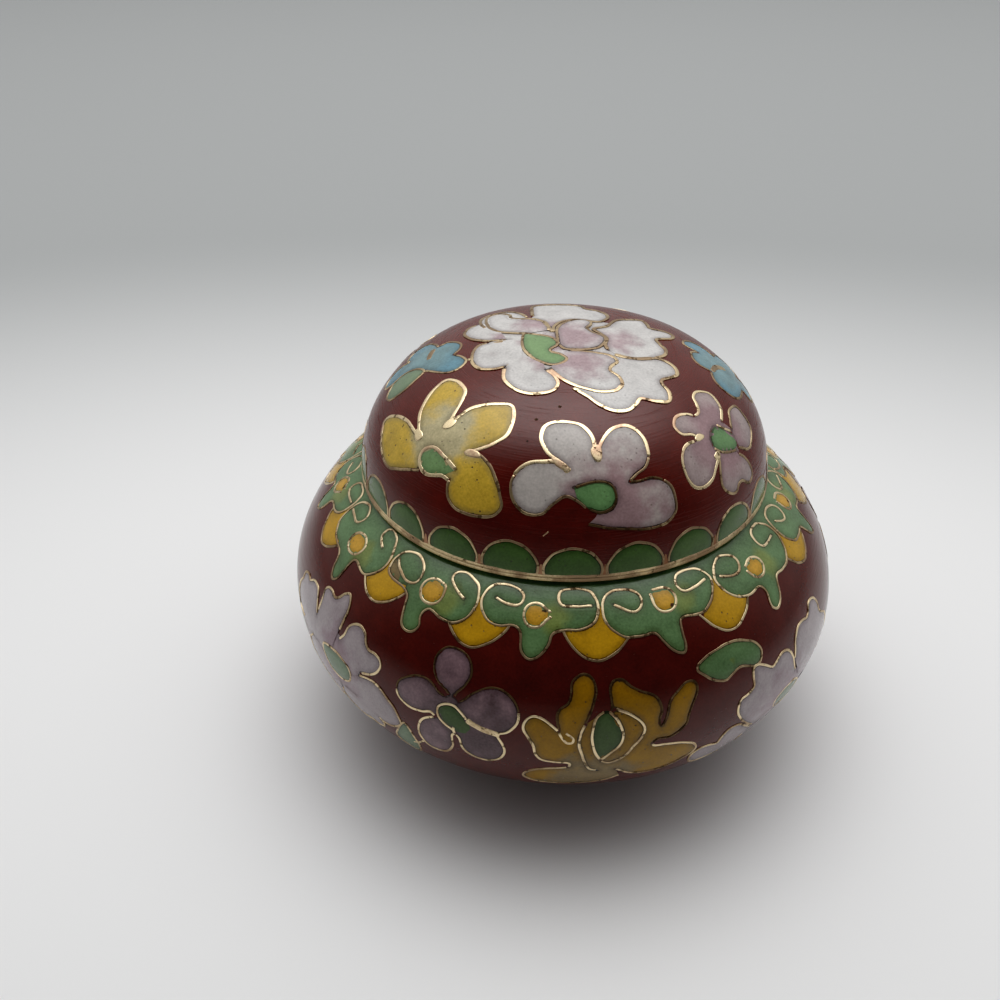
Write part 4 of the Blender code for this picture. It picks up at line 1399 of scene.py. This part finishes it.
# %% Right peony
def right_peony(name, turn):
    """A pale peony seen from its side: a broad front petal, ruffled ones behind it and one below."""
    flower = Motif(bowl, turn, foot=(30, -6))
    front = [
        (-4.7, -3.2), (-5.5, -2.5), (-6.8, -1.2), (-7.7, 0), (-8.2, 1), (-8.3, 2), (-8, 2.9), (-7, 3.2),
        (-6, 3.8), (-6, 5), (-5.8, 6), (-5, 6.15), (-4, 5.6), (-2.8, 4.8), (-2, 5), (-0.7, 5.55), (0.5, 5.1),
        (1.2, 4), (1.6, 2.5), (1.9, 1.5),
    ]
    behind = [
        (1.6, 3.2), (1.9, 4.5), (2.1, 5.5), (2.7, 6.3), (3.6, 6.8), (4.6, 6.8), (5.6, 6.5), (6.3, 6.8),
        (6.9, 7.5), (7.8, 7.7), (8.7, 7.3), (9.3, 6.3), (9.4, 5.1), (10.4, 4.2), (11.6, 3.3), (12.3, 2.2),
        (12.6, 0.6), (11.5, -0.6), (9.5, -1),
    ]
    low_left = [
        (-8, -7.2), (-10.4, -7.2), (-12.2, -6.6), (-13.4, -5.4), (-13.8, -4), (-13.4, -2.9), (-12.6, -2.5),
        (-11.4, -2.6), (-10.3, -3), (-10, -2.1), (-9.4, -1.2), (-8.4, -0.9), (-7.4, -1.2), (-6, -2.5),
        (-5, -3.5),
    ]
    low = [
        (-5.6, -4.6), (-5.8, -6.4), (-4.6, -7.9), (-2.4, -8.4), (-0.6, -7.6), (1.2, -8.3), (3.4, -7.9),
        (4.6, -6.4), (4.2, -4.6),
    ]
    low_right = [
        (4.4, -5.4), (6.2, -6.6), (8.6, -6.8), (10.6, -5.8), (11.4, -4), (12.4, -2.6), (12, -1),
        (10.6, -0.4),
    ]
    middle = [(-5.5, -3), (-2, 1), (2, 1.6), (7, 0.6), (9, -2), (5.4, -5.6), (-1.4, -6.6), (-5.4, -5)]
    petals = [
        (low_left, [(-4, -4.5), (-6, -6.4)]),
        (low, [(1, -2.6), (-2.4, -3)]),
        (low_right, [(7, -0.6), (4, -2.4)]),
        (behind, [(6, -1.6), (3, 0)]),
        (front, [(1, -1.2), (-1.4, -2.8)]),
    ]
    layered(flower, petals, PEARL, (0, -2), 8.5, base=curve(middle))
    seed = ring([(-1.4, -1), (0.4, -0.2), (2.6, -0.5), (4, -1.9), (3.2, -3.3), (1, -3.2), (-1, -2.6)])
    flower.fill(seed, JADE, level=0.07)
    flower.wire(seed, width=0.27, level=0.05, closed=True)
    flower.make(name, THIN_WIRE)


right_peony("bowl_peony_right", 0)
right_peony("bowl_peony_back", 141)

# %% Left peony
# Four ruffled petals above, two below, a green middle and a long leaf beside it.
flower = Motif(bowl, foot=(-29, -4))
outer = [
    (-9.6, -0.4), (-11.6, -0.2), (-12.8, 1), (-12.8, 2.6), (-12, 3.8), (-11.7, 4.9), (-10.5, 5.3),
    (-9.6, 5.1), (-8.6, 5.7), (-7.6, 5.9), (-6.6, 5.6), (-5.8, 4.3), (-5.3, 3),
]
top = [
    (-5.1, 3.6), (-5, 5.5), (-5.2, 6.6), (-4.7, 7.2), (-3.7, 7.3), (-2.7, 7), (-1.9, 7.4), (-1.2, 8.3),
    (-0.3, 8.7), (0.4, 8), (0.6, 6.8), (0.4, 5.2), (0.2, 4.2),
]
upper = [
    (0.5, 3.2), (1.3, 4.3), (1.7, 5.5), (2.5, 6.3), (3.6, 6.6), (4.6, 6.2), (5.1, 5.3), (5.8, 4.7),
    (6.8, 4.7), (7.7, 4.4), (8, 3.7), (7.5, 2.6), (6.5, 1.9), (5.1, 1.3),
]
side = [
    (4.7, 0.7), (6, 1.1), (7.1, 1.2), (8.2, 0.9), (9.3, 0), (10.2, -0.8), (10.7, -1.8), (11, -3), (10.3, -4),
    (8.8, -4.8), (7.2, -4.6),
]
low = [
    (-6.2, -0.6), (-7.6, -2.2), (-7.6, -4.2), (-6.2, -5.6), (-4.6, -5.6), (-3.2, -6.8), (-1.2, -7),
    (0.2, -5.8), (0.6, -4.2),
]
low_right = [(0.4, -5.2), (1.4, -6.8), (3.4, -7.4), (5.2, -6.6), (6.6, -6.8), (7.8, -5.8), (7.4, -4.2)]
middle = [(-9, 3), (-5, 3.6), (0, 3.8), (4.6, 1.4), (6.6, -3), (4, -5.4), (0, -5), (-6, -3), (-9, 0)]
petals = [
    (outer, [(-5.4, 0.6), (-7, -0.6)]),
    (low, [(0.4, -2.4), (-4, -0.4)]),
    (low_right, [(6, -3), (1.4, -3.2)]),
    (side, [(4, -3), (2.6, -0.8)]),
    (top, [(-0.6, 1.4), (-4, 1.4)]),
    (upper, [(2.4, 1), (0.6, 1.6)]),
]
layered(flower, petals, PEARL, (0, -0.6), 7.5, base=curve(middle))
seed = ring([
    (-2.9, 0.4), (-1.5, 1), (0.5, 1.2), (2.4, 0.8), (3.2, -0.2), (2.7, -1.5), (1, -2.2), (-1, -2),
    (-2.3, -1),
])
flower.fill(seed, JADE, level=0.08)
flower.wire(seed, width=0.27, level=0.05, closed=True)
leaf = ring([
    (11.5, -2.6), (10.2, -4.6), (9.4, -6.8), (10, -8.8), (11.4, -9.8), (12.4, -8.2), (12.8, -6.2),
    (12.4, -4.2),
])
flower.fill(leaf, JADE)
flower.wire(leaf, width=0.27, closed=True)
flower.wire(curve([(13.9, -4.5), (13.1, -5.4), (12, -6.2)]), width=0.27)
flower.make("bowl_peony_left", THIN_WIRE)

# %% [markdown]
# ## The table, the lamp and the camera
#
# The jar stands on a plain pale floor whose colour is painted darker away from the jar, a painted
# shade that stands in for the lamp's falloff. One big soft lamp hangs over it and a little behind, so
# the crown of the lid shines and the shadow falls towards the front. The lamp grows dim towards its
# edges, as a diffuser does, and that keeps the shadow's edge soft. The world around is dim, brighter
# behind and above than in front. The contrast curve is a camera's: it keeps the bright tones and
# deepens the dark ones.

# %% Floor
FLOOR_REACH = 3.0
FLOOR_SIDES = 192
NEAR_PAPER, FAR_PAINTED_SHADE = (0.81, 0.81, 0.81), (0.4, 0.41, 0.41)
# The millimetres from the jar over which the floor's colour is painted darker, a painted shade for the
# lamp's falloff, and how its sides count for less.
FADE, FADE_SHAPE = (30, 190), (0.6, 1, 0)
floor_mesh = bpy.data.meshes.new("floor")
round_floor = spun(np.array([(FLOOR_REACH / MM, 0.0)]), FLOOR_SIDES)[0] * MM
floor_mesh.from_pydata(round_floor.tolist(), [], [tuple(range(FLOOR_SIDES))])
floor = bpy.data.objects.new("floor", floor_mesh)
bpy.context.scene.collection.objects.link(floor)
paper = Finish("pale_floor", {"Roughness": 0.7, "Specular IOR Level": 0.2})
away = paper.level(FADE_SHAPE)[1]
# Painted shade: the paper's colour darkens away from the jar in place of the lamp's own falloff.
paper.feed("Base Color", paper.mix(paper.step(away, *FADE), NEAR_PAPER, FAR_PAINTED_SHADE))
floor_mesh.materials.append(paper.material)
print(f"a floor {2 * FLOOR_REACH:.0f} m wide")

# %% Lamp
LAMP_WIDTH, LAMP_DEPTH, LAMP_POWER = 1.45, 1.25, 11.6
LAMP_PLACE = (-0.005, 0.25, 0.8)
SOFT_EDGE = 0.45
lamp_data = bpy.data.lights.new("overhead_lamp", "AREA")
lamp_data.shape = "RECTANGLE"
lamp_data.size = LAMP_WIDTH
lamp_data.size_y = LAMP_DEPTH
lamp_data.energy = LAMP_POWER
lamp_data.use_nodes = True
lamp_glow = Graph(lamp_data.node_tree, "Emission")
across_lamp = lamp_glow.add("ShaderNodeNewGeometry", output="Parametric")
near_sides = [lamp_glow.axis(across_lamp, letter) for letter in "XY"]
width_glow, depth_glow = (
    lamp_glow.step(near, 0.0, SOFT_EDGE) * lamp_glow.step(1.0 - near, 0.0, SOFT_EDGE) for near in near_sides
)
lamp_glow.feed("Strength", width_glow * depth_glow)
lamp = bpy.data.objects.new("overhead_lamp", lamp_data)
lamp.location = LAMP_PLACE
bpy.context.scene.collection.objects.link(lamp)
print(f"a lamp of {LAMP_POWER} W, {LAMP_WIDTH} m wide and {LAMP_DEPTH} m deep")

# %% World
DARK_SIDE, LIGHT_SIDE, HIGH_SIDE = 0.12, 0.42, 0.95
FRONT_TO_BACK = (-0.6, 0.35)
world = bpy.data.worlds.new("dim_room")
world.use_nodes = True
room = Graph(world.node_tree, "Background")
toward = room.add("ShaderNodeTexCoord", output="Generated")
behind = room.step(room.axis(toward, "Y"), *FRONT_TO_BACK)
high = room.axis(toward, "Z")
room.feed("Strength", behind * (high * high * HIGH_SIDE + LIGHT_SIDE) + DARK_SIDE)
room.shader.inputs["Color"].default_value = (1.0, 1.0, 1.0, 1.0)
bpy.context.scene.world = world
print(f"a room {DARK_SIDE} bright in front and {DARK_SIDE + LIGHT_SIDE:.2f} behind, and more above")

# %% Tone
TOE = 0.06


def toned(light):
    """The contrast curve: square below the toe, nearly straight above it, and white stays white."""
    return light * light * (1 + TOE) / (light + TOE)


tone = bpy.context.scene.view_settings
tone.view_transform = "Standard"
tone.use_curve_mapping = True
response = tone.curve_mapping.curves[3]
for light in (0.015, 0.03, 0.06, 0.12, 0.25, 0.5):
    response.points.new(light, toned(light))
tone.curve_mapping.update()
print(f"the curve takes a tone of 0.10 to {toned(0.1):.2f} and one of 0.50 to {toned(0.5):.2f}")

# %% Camera
DISTANCE, AIM_HEIGHT = 131.07, 28.48
RISE, YAW, PITCH, ROLL = (math.radians(angle) for angle in (34.20, 3.50, -0.13, -1.95))
FRAME_WIDTH = 36.0
place = Vector((0, -DISTANCE * math.cos(RISE), DISTANCE * math.sin(RISE) + AIM_HEIGHT))
turned = Matrix.Identity(3)
for angle, axis in ((math.pi / 2 - RISE, "X"), (YAW, "Y"), (PITCH, "X"), (-ROLL, "Z")):
    turned = turned @ Matrix.Rotation(angle, 3, axis)
camera_data = bpy.data.cameras.new("camera")
camera_data.lens = FRAME_WIDTH
camera_data.sensor_width = FRAME_WIDTH
camera_data.clip_start = 0.001
camera = bpy.data.objects.new("camera", camera_data)
camera.matrix_world = Matrix.Translation(place * MM) @ turned.to_4x4()
bpy.context.scene.collection.objects.link(camera)
bpy.context.scene.camera = camera
print(f"the camera stands {DISTANCE:.0f} mm away and looks {math.degrees(RISE):.0f} degrees down")

print("triangles:", sum(made.values()), made)
